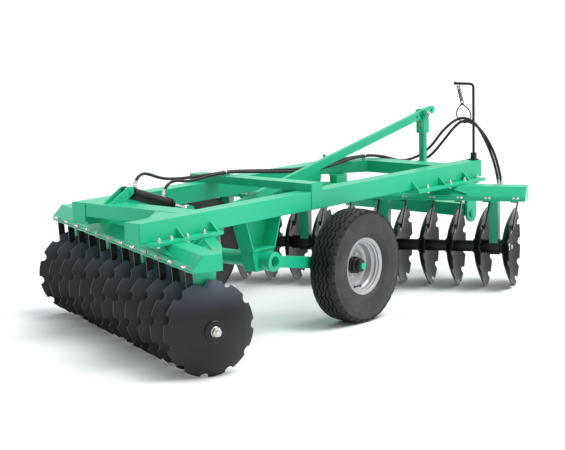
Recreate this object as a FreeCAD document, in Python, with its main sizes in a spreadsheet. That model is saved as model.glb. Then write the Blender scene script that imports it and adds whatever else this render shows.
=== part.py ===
import FreeCAD, Part
import Sketcher
import math
import os

# Trailed offset disc harrow, parked on both disc gangs and its two wheels.
# Millimetres. X runs forwards, Y to the left, Z up, and the floor is at Z = 0.
# Frame places are counted from the near rail: X from its rear end, Y from its
# outer face, Z from its top. Gang places are counted from the centre of the
# right-hand disc's rim: X ahead, Y to the left along the gang's axle, Z up.

doc = FreeCAD.newDocument("disc_harrow")
sheet = doc.addObject("Spreadsheet::Sheet", "Sizes")

# name, value, what it is
SIZES = [
    ("rear_x", -2112.8, "near rail's rear end, from the middle of the machine"),
    ("side_y", -690.4, "near rail's outer face, from the middle of the machine"),
    ("rail_top", 1014.0, "top of the rails above the floor"),
    ("rail_wide", 140.0, "rail, across"),
    ("rail_deep", 140.0, "rail, up"),
    ("rail_wall", 8.0, "wall of the rails and cross tubes"),
    ("cap_thick", 6.0, "end caps of tubes and beams"),
    ("near_long", 4188.0, "near rail, end to end"),
    ("frame_wide", 1200.0, "over both rails"),
    ("far_start", 520.0, "far rail's rear end"),
    ("far_end", 3311.0, "far rail's front end"),
    ("seam_at", 1858.0, "where the cheek plate starts, under the middle beam"),
    ("cheek_thick", 6.0, "cheek plate on the near rail"),
    ("tab_high", 66.0, "cheek plate's tab above the rail"),
    ("beam_run", 135.0, "middle beam, along the rails"),
    ("beam_high", 60.0, "middle beam, up"),
    ("beam_over", 40.0, "middle beam past the far rail"),
    ("beam_wall", 6.0, "wall of the middle beam"),
    ("cross_wide", 190.0, "cross tubes, along the rails"),
    ("cross_deep", 100.0, "cross tubes, up"),
    ("front_at", 3670.0, "rear face of the front cross tube"),
    ("corner_in", 230.0, "front cross tube's square end, in from the far rail"),
    ("corner_out", 110.0, "outer edge of the corner, ahead of the far rail"),
    ("disc_wide", 660.0, "disc, across the rim"),
    ("disc_thick", 6.0, "disc plate"),
    ("dish_deep", 95.0, "disc's hollow"),
    ("disc_flat", 62.0, "radius of the disc's flat middle"),
    ("disc_count", 12, "discs on a gang"),
    ("disc_pitch", 234.0, "from disc to disc"),
    ("notch_count", 11, "notches round a disc"),
    ("notch_round", 34.0, "radius of a notch"),
    ("notch_out", 6.0, "centre of a notch outside the rim"),
    ("axle_round", 22.5, "radius of the gang axle"),
    ("bore_slack", 0.4, "play of discs and spools on the axle"),
    ("spool_round", 48.0, "radius of a spool's waist"),
    ("spool_lip", 60.0, "radius of a spool's ends"),
    ("spool_edge", 14.0, "length of a spool's ends"),
    ("cone_long", 45.0, "cone washer at the axle's end"),
    ("washer_thick", 10.0, "flat washer at the axle's end"),
    ("washer_round", 34.0, "radius of the flat washer"),
    ("nut_wide", 56.0, "nut, across"),
    ("nut_long", 40.0, "nut, along the axle"),
    ("axle_stub", 25.0, "axle past the nut"),
    ("run_slack", 0.08, "running play of a bearing"),
    ("housing_round", 68.0, "radius of a gang bearing"),
    ("housing_long", 90.0, "gang bearing, along the axle"),
    ("housing_in", 65.0, "gang bearing's middle, in from the rim it hangs by"),
    ("leg_thick", 76.0, "bearing leg, along the axle"),
    ("leg_top", 160.0, "bearing leg, across its top"),
    ("leg_foot", 112.0, "bearing leg, across its foot"),
    ("leg_wall", 8.0, "wall of a bearing leg"),
    ("leg_low", 20.0, "foot of a leg above the axle's middle"),
    ("gang_turn", 24.2, "gangs' angle to the cross tubes, in degrees"),
    ("rear_ahead", 121.0, "rear gang's right disc, ahead of the rail's end"),
    ("rear_out", 496.0, "rear gang's right disc, out from the near rail"),
    ("front_ahead", 3979.0, "front gang's right disc, ahead of the rail's end"),
    ("front_out", 471.0, "front gang's right disc, out from the near rail"),
    ("gang_drop", 165.0, "gang beam's top below the rail's top"),
    ("gang_beam_top", 140.0, "gang beam, across its top"),
    ("gang_beam_deep", 115.0, "gang beam, up"),
    ("gang_beam_slope", 74.0, "gang beam's rear face leans out"),
    ("gang_lip", 30.0, "upright lip below the leaning face"),
    ("gang_wall", 8.0, "wall of a gang beam"),
    ("beam_past", 100.0, "gang beam past the right disc's rim"),
    ("gang_beam_long", 2820.0, "gang beam, end to end"),
    ("scraper_wide", 50.0, "scraper bar, across"),
    ("scraper_thick", 10.0, "scraper bar"),
    ("scraper_drop", 240.0, "scraper bar below the beam"),
    ("scraper_out", 45.0, "scraper's foot, out from the rim"),
    ("scraper_foot", 60.0, "scraper's foot, along the beam"),
    ("blade_wide", 100.0, "scraper blade, across"),
    ("blade_high", 80.0, "scraper blade, up"),
    ("blade_thick", 8.0, "scraper blade"),
    ("plate_thick", 25.0, "mounting plate between rail and gang beam"),
    ("plate_out", 50.0, "mounting plate past the rail's outer face"),
    ("plate_run", 650.0, "mounting plate, along the rail"),
    ("plate_front", 860.0, "front mounting plate, along the near rail"),
    ("mount_rear", 65.0, "rear mounting plate, ahead of the rail's end"),
    ("mount_front", 3270.0, "front mounting plate, ahead of the rail's rear end"),
    ("gusset_thick", 10.0, "gussets"),
    ("gusset_high", 90.0, "gussets on the mounting plates"),
    ("shaft_at", 1300.0, "rocker shaft, ahead of the rail's end"),
    ("shaft_down", 445.0, "rocker shaft below the rail's top"),
    ("shaft_round", 57.0, "radius of the rocker shaft"),
    ("shaft_bore", 30.0, "radius of the hole through the shaft"),
    ("shaft_past", 100.0, "shaft past the outer faces of the rails"),
    ("hanger_top", 400.0, "axle hanger, along the rail at its top"),
    ("hanger_foot", 250.0, "axle hanger, along the rail at its foot"),
    ("hanger_deep", 225.0, "axle hanger, down from the rail"),
    ("hanger_wall", 10.0, "wall of the axle hanger"),
    ("block_high", 150.0, "bearing block of the shaft"),
    ("block_wide", 120.0, "bearing block, along the shaft"),
    ("wheel_ahead", 808.0, "wheel axle ahead of the rocker shaft"),
    ("arm_high", 86.0, "wheel arm, up"),
    ("arm_thick", 60.0, "wheel arm, across"),
    ("arm_gap", 26.0, "wheel arm out from the rail's face"),
    ("stub_round", 25.0, "radius of a stub axle"),
    ("tyre_round", 435.0, "radius of a tyre"),
    ("tyre_wide", 226.0, "tyre, across"),
    ("bead_round", 203.0, "radius of the rim's bead seat"),
    ("flange_round", 221.0, "radius of the rim's flange"),
    ("rim_wide", 180.0, "rim, over its flanges"),
    ("rim_wall", 7.0, "wall of the rim"),
    ("wheel_out", 232.0, "wheel's middle plane out from the rail's face"),
    ("hub_round", 66.0, "radius of the hub"),
    ("hub_face", 105.0, "radius of the hub's flange"),
    ("dish_in", 22.0, "wheel disc, out from the wheel's middle plane"),
    ("cylinder_y", 870.0, "cylinder, in from the near rail's outer face"),
    ("tail_ahead", 762.0, "cylinder's rear pin, ahead"),
    ("tail_up", 70.0, "cylinder's rear pin above the rail's top"),
    ("eye_ahead", 1420.0, "cylinder's rod eye, ahead"),
    ("eye_down", 150.0, "cylinder's rod eye below the rail's top"),
    ("barrel_round", 45.0, "radius of the cylinder's barrel"),
    ("barrel_long", 500.0, "barrel, from its rear pin to its gland"),
    ("gland_round", 38.0, "radius of the gland"),
    ("rod_round", 20.0, "radius of the rod"),
    ("rod_in", 150.0, "rod inside the barrel at rest"),
    ("pin_round", 12.0, "radius of the linkage pins"),
    ("drift_slack", 14.0, "play of a pin where a linkage is opened"),
    ("eye_round", 40.0, "radius of the rod's eye"),
    ("eye_thick", 40.0, "rod's eye, across"),
    ("lug_thick", 14.0, "plates of levers and brackets"),
    ("side_slack", 6.0, "play beside an eye or link"),
    ("link_y", 650.0, "levelling link, in from the near rail's outer face"),
    ("link_tail_ahead", 1600.0, "link's rear pin, ahead"),
    ("link_tail_down", 170.0, "link's rear pin below the rail's top"),
    ("mast_pin_ahead", 4248.0, "link's front pin, ahead"),
    ("mast_pin_up", 366.0, "link's front pin above the rail's top"),
    ("link_high", 66.0, "levelling link, up"),
    ("link_thick", 40.0, "levelling link, across"),
    ("link_past", 165.0, "link past its front pin"),
    ("hitch_ahead", 4250.0, "hitch beam's middle, ahead"),
    ("hitch_down", 450.0, "hitch beam's middle below the rail's top"),
    ("hitch_deep", 110.0, "hitch beam, up and along"),
    ("hitch_gap", 20.0, "between the hitch beam and its brackets"),
    ("hitch_long", 1240.0, "hitch beam, across"),
    ("journal_round", 30.0, "radius of the hitch beam's end journals"),
    ("journal_past", 10.0, "journals past their brackets"),
    ("bracket_thick", 25.0, "plates that carry the hitch beam"),
    ("mast_wide", 52.0, "mast tube, both ways"),
    ("fork_wide", 84.0, "mast's fork plates, across"),
    ("fork_high", 210.0, "mast's fork plates, up"),
    ("lug_bore", 16.0, "radius of the bores for the drawbar pins"),
    ("lug_out", 60.0, "drawbar bore ahead of the hitch beam"),
    ("lug_gap", 90.0, "between the two ears of a drawbar lug"),
    ("lug_apart", 700.0, "between the two drawbar lugs"),
    ("stand_y", 70.0, "hose stand, in from the near rail's outer face"),
    ("stand_round", 9.0, "radius of the hose stand's rod"),
    ("stand_high", 650.0, "hose stand above the rail's top"),
    ("stand_arm", 180.0, "hose stand's arm, to the left"),
]

for line, (alias, value, meaning) in enumerate(SIZES, start=1):
    sheet.set(f"A{line}", alias)
    sheet.set(f"B{line}", str(value))
    sheet.set(f"C{line}", meaning)
    sheet.setAlias(f"B{line}", alias)
doc.recompute()


# Sizes as terms

class Term:
    """A size with the expression that binds it to the sheet and its value now."""

    def __init__(self, text, value):
        self.text = text
        self.value = float(value)

    def join(self, sign, other, value):
        return Term(f"({self.text} {sign} {term(other).text})", value)

    def __add__(self, other):
        return self.join("+", other, self.value + term(other).value)

    def __sub__(self, other):
        return self.join("-", other, self.value - term(other).value)

    def __mul__(self, other):
        return self.join("*", other, self.value * term(other).value)

    def __truediv__(self, other):
        return self.join("/", other, self.value / term(other).value)

    def __neg__(self):
        return Term(f"(0 - {self.text})", -self.value)

    __radd__ = __add__

    def __rsub__(self, other):
        return term(other) - self

    def __rmul__(self, other):
        return self * other


def term(thing):
    """Any number or term as a term."""
    return thing if isinstance(thing, Term) else Term(repr(float(thing)), thing)


def root(thing):
    """The square root of a term."""
    return Term(f"sqrt({thing.text})", math.sqrt(thing.value))


def arc_tangent(rise, run):
    """The angle in degrees whose tangent is rise over run."""
    return Term(f"(atan2({rise.text}; {run.text}) / 1deg)", math.degrees(math.atan2(rise.value, run.value)))


def sine(angle):
    return Term(f"sin({angle.text} * 1deg)", math.sin(math.radians(angle.value)))


def cosine(angle):
    return Term(f"cos({angle.text} * 1deg)", math.cos(math.radians(angle.value)))


class Sizes:
    """The sheet's cells by name."""

    def __getattr__(self, alias):
        return Term(f"Sizes.{alias}", sheet.get(alias))


S = Sizes()
X_AXIS = FreeCAD.Vector(1, 0, 0)
Y_AXIS = FreeCAD.Vector(0, 1, 0)
Z_AXIS = FreeCAD.Vector(0, 0, 1)


# Builders

def bind(thing, path, size):
    """Bind one property to a size."""
    thing.setExpression(path, term(size).text)


def put(thing, x=0, y=0, z=0, axis=None, turn=None):
    """Place an object, every distance and the turn bound to the sheet."""
    if axis is not None:
        thing.Placement = FreeCAD.Placement(FreeCAD.Vector(), FreeCAD.Rotation(axis, term(turn).value))
        bind(thing, "Placement.Rotation.Angle", turn)
    for path, size in (("x", x), ("y", y), ("z", z)):
        bind(thing, f"Placement.Base.{path}", size)
    return thing


def block(name, run, across, up, x=0, y=0, z=0, axis=None, turn=None):
    """A plain block from its low corner."""
    thing = doc.addObject("Part::Box", name)
    for path, size in (("Length", run), ("Width", across), ("Height", up)):
        bind(thing, path, size)
    return put(thing, x, y, z, axis, turn)


def rod(name, radius, length, x=0, y=0, z=0, axis=X_AXIS, turn=-90):
    """A round bar. As it stands it runs along Y from its near end."""
    thing = doc.addObject("Part::Cylinder", name)
    bind(thing, "Radius", radius)
    bind(thing, "Height", length)
    return put(thing, x, y, z, axis, turn)


def cut(name, base, tool):
    thing = doc.addObject("Part::Cut", name)
    thing.Base = base
    thing.Tool = tool
    return thing


def fuse(name, pieces):
    thing = doc.addObject("Part::MultiFuse", name)
    thing.Shapes = pieces
    return thing


def copy(name, source, x=0, y=0, z=0, axis=None, turn=None):
    """The same piece again at another place."""
    thing = doc.addObject("App::Link", name)
    thing.LinkedObject = source
    return put(thing, x, y, z, axis, turn)


def sketch_on(body, role, name):
    """A sketch on one of the body's own origin planes."""
    sketch = body.newObject("Sketcher::SketchObject", name)
    plane = [part for part in body.Origin.OriginFeatures if part.Role == role][0]
    sketch.AttachmentSupport = [(plane, "")]
    sketch.MapMode = "FlatFace"
    return sketch


def fix_point(sketch, edge, end, point):
    """Hold one end of an edge at a place bound to the sheet."""
    for kind, size in zip(("DistanceX", "DistanceY"), point):
        index = sketch.addConstraint(Sketcher.Constraint(kind, -1, 1, edge, end, term(size).value))
        sketch.setExpression(f"Constraints[{index}]", term(size).text)


def outline(sketch, points):
    """A closed outline of straight edges through the points."""
    first = sketch.GeometryCount
    spots = [FreeCAD.Vector(term(x).value, term(y).value, 0) for x, y in points]
    for here, there in zip(spots, spots[1:] + spots[:1]):
        sketch.addGeometry(Part.LineSegment(here, there), False)
    count = len(points)
    for number, point in enumerate(points):
        following = first + (number + 1) % count
        sketch.addConstraint(Sketcher.Constraint("Coincident", first + number, 2, following, 1))
        fix_point(sketch, first + number, 1, point)


def hole(sketch, x, y, radius):
    """A round hole in the outline."""
    spot = FreeCAD.Vector(term(x).value, term(y).value, 0)
    edge = sketch.addGeometry(Part.Circle(spot, Z_AXIS, term(radius).value), False)
    fix_point(sketch, edge, 3, (x, y))
    index = sketch.addConstraint(Sketcher.Constraint("Radius", edge, term(radius).value))
    sketch.setExpression(f"Constraints[{index}]", term(radius).text)


def padded(name, role, points, length, inner=(), holes=()):
    """A profile padded along its plane's normal: -Y on XZ, +X on YZ, +Z on XY."""
    body = doc.addObject("PartDesign::Body", name)
    sketch = sketch_on(body, role, name + "_profile")
    outline(sketch, points)
    if inner:
        outline(sketch, inner)
    for x, y, radius in holes:
        hole(sketch, x, y, radius)
    pad = body.newObject("PartDesign::Pad", name + "_pad")
    pad.Profile = sketch
    bind(pad, "Length", length)
    return body


def turned(name, points):
    """A profile in radius and Y, revolved about Y."""
    body = doc.addObject("PartDesign::Body", name)
    sketch = sketch_on(body, "XY_Plane", name + "_profile")
    outline(sketch, points)
    spin = body.newObject("PartDesign::Revolution", name + "_turned")
    spin.Profile = sketch
    spin.ReferenceAxis = (sketch, ["V_Axis"])
    spin.Angle = 360
    return body


NODES = []
CAPS = []


def group(name, pieces, seat):
    """Separate pieces together, seated in their own place."""
    thing = doc.addObject("Part::Compound", name)
    thing.Links = pieces
    return put(thing, *seat)


def node(label, pieces, seat=()):
    """One sub-part of the machine."""
    thing = group(label, pieces, seat)
    thing.Label = label
    NODES.append(thing)


FRAME = (S.rear_x, S.side_y, S.rail_top)
REAR = (S.rear_x + S.rear_ahead, S.side_y - S.rear_out, S.disc_wide / 2, Z_AXIS, -S.gang_turn)
FRONT = (S.rear_x + S.front_ahead, S.side_y - S.front_out, S.disc_wide / 2, Z_AXIS, S.gang_turn)


# Frame

def box_tube(name, role, wide, deep, wall, length):
    """A square tube with its outer corner at the origin, hanging down from it."""
    outer = [(0, 0), (wide, 0), (wide, -deep), (0, -deep)]
    inner = [(wall, -wall), (wide - wall, -wall), (wide - wall, wall - deep), (wall, wall - deep)]
    return padded(name, role, outer, length, inner)


def build_frame():
    near = box_tube("near_tube", "YZ_Plane", S.rail_wide, S.rail_deep, S.rail_wall, S.near_long)
    node("near_rail", [near], FRAME)

    far = box_tube("far_tube", "YZ_Plane", S.rail_wide, S.rail_deep, S.rail_wall, S.far_end - S.far_start)
    put(far, S.far_start, S.frame_wide - S.rail_wide, 0)
    node("far_rail", [far], FRAME)

    tab_end = S.seam_at + S.beam_run
    cheek = padded("cheek", "XZ_Plane",
                   [(S.seam_at, -S.rail_deep), (S.near_long, -S.rail_deep), (S.near_long, 0),
                    (tab_end, 0), (tab_end, S.tab_high), (S.seam_at, S.tab_high)], S.cheek_thick)
    node("near_cheek_plate", [cheek], FRAME)

    span = S.frame_wide - S.rail_wide * 2
    rear = box_tube("rear_tube", "XZ_Plane", S.cross_wide, S.cross_deep, S.rail_wall, span)
    put(rear, S.far_start, S.frame_wide - S.rail_wide, 0)
    node("rear_cross_tube", [rear], FRAME)

    inner_y = S.frame_wide - S.rail_wide
    square_y = S.frame_wide - S.corner_in - S.rail_wide
    front = box_tube("front_tube", "XZ_Plane", S.cross_wide, S.cross_deep, S.rail_wall, square_y - S.rail_wide)
    put(front, S.front_at, square_y, 0)
    front_face = S.front_at + S.cross_wide
    wall = S.rail_wall
    corner = padded("corner", "XY_Plane",
                    [(S.far_end, inner_y), (S.front_at, square_y), (front_face, square_y),
                     (front_face, square_y + S.corner_out), (S.far_end + S.corner_out, S.frame_wide),
                     (S.far_end, S.frame_wide)], S.cross_deep)
    put(corner, 0, 0, -S.cross_deep)
    room = padded("corner_room", "XY_Plane",
                  [(S.far_end, inner_y + wall), (S.front_at + wall, square_y), (front_face - wall, square_y),
                   (front_face - wall, square_y + S.corner_out - wall),
                   (S.far_end + S.corner_out - wall, S.frame_wide - wall), (S.far_end, S.frame_wide - wall)],
                  S.cross_deep - wall * 2)
    put(room, 0, 0, wall - S.cross_deep)
    node("front_cross_tube", [fuse("front_whole", [front, cut("corner_tube", corner, room)])], FRAME)

    middle = box_tube("middle_tube", "XZ_Plane", S.beam_run, S.beam_high, S.beam_wall,
                      S.frame_wide + S.beam_over)
    put(middle, S.seam_at, S.frame_wide + S.beam_over, S.beam_high)
    node("middle_beam", [middle], FRAME)

    caps = [
        block("near_rear_cap", S.cap_thick, S.rail_wide, S.rail_deep, -S.cap_thick, 0, -S.rail_deep),
        block("near_front_cap", S.cap_thick, S.rail_wide, S.rail_deep, S.near_long, 0, -S.rail_deep),
        block("far_rear_cap", S.cap_thick, S.rail_wide, S.rail_deep, S.far_start - S.cap_thick,
              S.frame_wide - S.rail_wide, -S.rail_deep),
        block("far_front_cap", S.cap_thick, S.rail_wide, S.rail_deep - S.cross_deep, S.far_end,
              S.frame_wide - S.rail_wide, -S.rail_deep),
        block("middle_cap", S.beam_run, S.cap_thick, S.beam_high, S.seam_at,
              S.frame_wide + S.beam_over, 0),
    ]
    CAPS.append(group("frame_caps", caps, FRAME))


# Gangs

def gang_section():
    """The gang beam's section, ahead and up from the axle."""
    top = S.rail_top - S.gang_drop - S.disc_wide / 2
    low = top - S.gang_beam_deep
    half = S.gang_beam_top / 2
    rear = -half - S.gang_beam_slope
    outer = [(-half, top), (half, top), (half, low), (rear, low), (rear, low + S.gang_lip)]
    wall = S.gang_wall
    inner = [(wall - half, top - wall), (half - wall, top - wall), (half - wall, low + wall),
             (rear + wall * 2, low + wall), (rear + wall * 2, low + S.gang_lip - wall)]
    return outer, inner, top, low, rear


def disc(name, hollow):
    """A notched disc, its rim at the origin. hollow is 1 if it faces left, -1 if right."""
    body = doc.addObject("PartDesign::Body", name)
    sketch = sketch_on(body, "XY_Plane", name + "_profile")
    rim = S.disc_wide / 2
    bore = S.axle_round + S.bore_slack
    deep = S.dish_deep
    thick = S.disc_thick
    middle = (rim * rim - S.disc_flat * S.disc_flat - deep * deep) / (deep * 2)
    back = middle + thick
    outer_round = root(rim * rim + middle * middle) + thick
    rim_back = middle - root(outer_round * outer_round - rim * rim)
    flat_back = root(outer_round * outer_round - (deep + thick + middle) * (deep + thick + middle))
    corners = [(bore, -deep), (S.disc_flat, -deep), (rim, 0), (rim, rim_back),
               (flat_back, -deep - thick), (bore, -deep - thick)]
    spots = [(term(x), term(y) * hollow) for x, y in corners]
    flat = [FreeCAD.Vector(x.value, y.value, 0) for x, y in spots]

    def through(first, last, radius):
        """The arc's middle point, on the sphere's round."""
        reach = (flat[first].x + flat[last].x) / 2
        return FreeCAD.Vector(reach, (middle.value - math.sqrt(radius * radius - reach * reach)) * hollow, 0)

    inner_round = math.sqrt(rim.value ** 2 + middle.value ** 2)
    edges = [
        Part.LineSegment(flat[0], flat[1]),
        Part.Arc(flat[1], through(1, 2, inner_round), flat[2]),
        Part.LineSegment(flat[2], flat[3]),
        Part.Arc(flat[3], through(3, 4, outer_round.value), flat[4]),
        Part.LineSegment(flat[4], flat[5]),
        Part.LineSegment(flat[5], flat[0]),
    ]
    for edge in edges:
        sketch.addGeometry(edge, False)
    # An arc drawn clockwise keeps its ends the other way round.
    ends = []
    for number in range(len(edges)):
        start = sketch.getPoint(number, 1)
        ends.append((1, 2) if start.distanceToPoint(flat[number]) < 1e-6 else (2, 1))
    for number in range(len(edges)):
        following = (number + 1) % len(edges)
        sketch.addConstraint(Sketcher.Constraint("Coincident", number, ends[number][1],
                                                 following, ends[following][0]))
    for number, point in enumerate(spots):
        if edges[number].TypeId == "Part::GeomLineSegment":
            fix_point(sketch, number, 1, point)
    for number in (1, 3):
        sketch.addConstraint(Sketcher.Constraint("PointOnObject", number, 3, -2))
    spin = body.newObject("PartDesign::Revolution", name + "_turned")
    spin.Profile = sketch
    spin.ReferenceAxis = (sketch, ["V_Axis"])
    spin.Angle = 360
    doc.recompute()
    scallop = sketch_on(body, "XZ_Plane", name + "_notch")
    hole(scallop, rim + S.notch_out, 0, S.notch_round)
    pocket = body.newObject("PartDesign::Pocket", name + "_notched")
    pocket.Profile = scallop
    pocket.Type = "ThroughAll"
    pocket.SideType = "Symmetric"
    doc.recompute()
    ring = body.newObject("PartDesign::PolarPattern", name + "_notches")
    ring.Originals = [pocket]
    axis = [part for part in body.Origin.OriginFeatures if part.Role == "Y_Axis"][0]
    ring.Axis = (axis, [""])
    ring.Angle = 360
    bind(ring, "Occurrences", S.notch_count)
    body.Tip = ring
    return body


def spool(name):
    """A spacer between two discs, from its near end along Y."""
    bore = S.axle_round + S.bore_slack
    long = S.disc_pitch - S.disc_thick
    edge = S.spool_edge
    return turned(name, [(bore, 0), (S.spool_lip, 0), (S.spool_lip, edge), (S.spool_round, edge),
                         (S.spool_round, long - edge), (S.spool_lip, long - edge),
                         (S.spool_lip, long), (bore, long)])


def axle_end(name, outwards, start):
    """Cone washer, flat washer, nut and the axle's end, from the last disc's face outwards."""
    cone_end = start + S.cone_long * outwards
    nut_start = cone_end + S.washer_thick * outwards
    nut_end = nut_start + S.nut_long * outwards
    cone = turned(name + "_cone", [(0, start), (S.spool_lip, start), (S.washer_round, cone_end),
                                   (S.washer_round, nut_start), (0, nut_start)])
    low = nut_start if outwards > 0 else nut_end
    nut = block(name + "_nut", S.nut_wide, S.nut_long, S.nut_wide, -S.nut_wide / 2, low, -S.nut_wide / 2)
    tip = nut_end if outwards > 0 else nut_end - S.axle_stub
    stub = rod(name + "_stub", S.axle_round, S.axle_stub, 0, tip, 0)
    return [cone, nut, stub]


def build_gang(side, seat, hollow):
    """Beam, legs, bearings, scrapers, discs, spools and axle of one gang."""
    outer, inner, top, low, rear = gang_section()
    start = -S.beam_past
    end = start + S.gang_beam_long
    beam = padded(side + "_beam_tube", "XZ_Plane", outer, S.gang_beam_long, inner)
    put(beam, 0, end, 0)
    node(side + "_gang_beam", [beam], seat)
    plate = padded(side + "_beam_plate", "XZ_Plane", outer, S.cap_thick)
    caps = [copy(side + "_cap_right", plate, 0, start, 0),
            copy(side + "_cap_left", plate, 0, end + S.cap_thick, 0)]
    CAPS.append(group(side + "_beam_caps", caps, seat))

    count = int(sheet.get("disc_count"))
    blank = disc(side + "_disc", hollow)
    discs = []
    for number in range(count):
        # The axle is square, so each disc sits a quarter turn on from the last.
        discs.append(copy(f"{side}_disc_{number}", blank, 0, S.disc_pitch * number, 0, Y_AXIS, 90 * (number % 4)))
    node(side + "_discs", discs, seat)

    # The spools start at the face that looks left: hollow or back of the disc.
    face = -S.dish_deep if hollow > 0 else S.dish_deep + S.disc_thick
    sleeve = spool(side + "_spool")
    spools = [copy(f"{side}_spool_{number}", sleeve, 0, S.disc_pitch * number + face, 0)
              for number in range(count - 1)]
    node(side + "_spools", spools, seat)

    right_face = face - S.disc_thick
    left_face = S.disc_pitch * (count - 1) + face
    bar = rod(side + "_bar", S.axle_round, left_face - right_face, 0, right_face, 0)
    ends = axle_end(side + "_right", -1, right_face) + axle_end(side + "_left", 1, left_face)
    node(side + "_axle", [fuse(side + "_axle_whole", [bar] + ends)], seat)

    # Each bearing hangs beside a disc's rim, on the disc's hollow side.
    housing = turned(side + "_housing",
                     [(S.spool_round + S.run_slack, 0), (S.housing_round, 0),
                      (S.housing_round, S.housing_long), (S.spool_round + S.run_slack, S.housing_long)])
    half_top = S.leg_top / 2
    half_foot = S.leg_foot / 2
    shell = padded(side + "_leg_shell", "XZ_Plane",
                   [(-half_top, low), (half_top, low), (half_foot, S.leg_low), (-half_foot, S.leg_low)],
                   S.leg_thick)
    wall = S.leg_wall
    room = padded(side + "_leg_room", "XZ_Plane",
                  [(wall - half_top, low), (half_top * 2, low), (half_top * 2, S.leg_low),
                   (wall - half_foot, S.leg_low)], S.leg_thick - wall * 2)
    put(room, 0, -wall, 0)
    seat_round = rod(side + "_leg_seat", S.housing_round, S.housing_long, 0, -S.housing_long, 0)
    leg = cut(side + "_leg", cut(side + "_leg_channel", shell, room), seat_round)
    legs = []
    housings = []
    for number in (0, 4, 7, 10):
        rim = S.disc_pitch * (number if hollow > 0 else number + 1)
        centre = rim + S.housing_in * hollow
        housings.append(copy(f"{side}_housing_{number}", housing, 0, centre - S.housing_long / 2, 0))
        legs.append(copy(f"{side}_leg_{number}", leg, 0, centre + S.leg_thick / 2, 0))
    node(side + "_bearings", housings, seat)
    node(side + "_legs", legs, seat)

    foot_end = S.scraper_out - S.scraper_foot
    thick = S.scraper_thick
    bar_low = low - S.scraper_drop
    points = [(foot_end, low), (S.scraper_out, low), (S.scraper_out, low - thick), (thick / 2, bar_low),
              (-thick / 2, bar_low), (S.scraper_out - thick, low - thick), (foot_end, low - thick)]
    arm = padded(side + "_scraper_arm", "YZ_Plane", [(x * hollow, y) for x, y in map(both, points)],
                 S.scraper_wide)
    blade_top = bar_low + S.blade_high / 2
    lean = S.blade_high / 4
    points = [(-thick / 2, blade_top), (S.blade_thick - thick / 2, blade_top),
              (S.blade_thick - thick / 2 - lean, blade_top - S.blade_high),
              (-thick / 2 - lean, blade_top - S.blade_high)]
    blade = padded(side + "_scraper_blade", "YZ_Plane", [(x * hollow, y) for x, y in map(both, points)],
                   S.blade_wide)
    put(arm, rear, 0, 0)
    put(blade, rear + (S.scraper_wide - S.blade_wide) / 2, 0, 0)
    scraper = fuse(side + "_scraper", [arm, blade])
    scrapers = [copy(f"{side}_scraper_{number}", scraper, 0, S.disc_pitch * number, 0)
                for number in range(count)]
    node(side + "_scrapers", scrapers, seat)


def both(point):
    return term(point[0]), term(point[1])


# Plates that carry the gang beams under the rails

def mount(name, ahead, long, side):
    """A plate under a rail, with gussets against the rail's outer face. side is 1 near, -1 far."""
    low = -S.rail_deep - S.plate_thick
    y = -S.plate_out if side > 0 else S.frame_wide - S.rail_wide
    plate = block(name + "_plate", long, S.rail_wide + S.plate_out, S.plate_thick, ahead, y, low)
    pieces = [plate]
    for number, share in enumerate((0.25, 0.75)):
        if side > 0:
            points = [(-S.cheek_thick, -S.rail_deep), (-S.cheek_thick, S.gusset_high - S.rail_deep),
                      (-S.plate_out, -S.rail_deep)]
        else:
            points = [(S.frame_wide, -S.rail_deep), (S.frame_wide, S.gusset_high - S.rail_deep),
                      (S.frame_wide + S.plate_out, -S.rail_deep)]
        rib = padded(f"{name}_rib_{number}", "YZ_Plane", points, S.gusset_thick)
        put(rib, ahead + term(long) * share, 0, 0)
        pieces.append(rib)
    return fuse(name, pieces)


def build_mounts():
    far_rear = S.shaft_at - S.hanger_top / 2 - S.far_start - 15
    node("gang_mounts", [
        mount("rear_near_mount", S.mount_rear, S.plate_run, 1),
        mount("rear_far_mount", S.far_start, far_rear, -1),
        mount("front_near_mount", S.mount_front, S.plate_front, 1),
        mount("front_far_mount", S.far_end - S.plate_run, S.plate_run, -1),
    ], FRAME)


# Rocker shaft, its hangers, arms and levers

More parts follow.
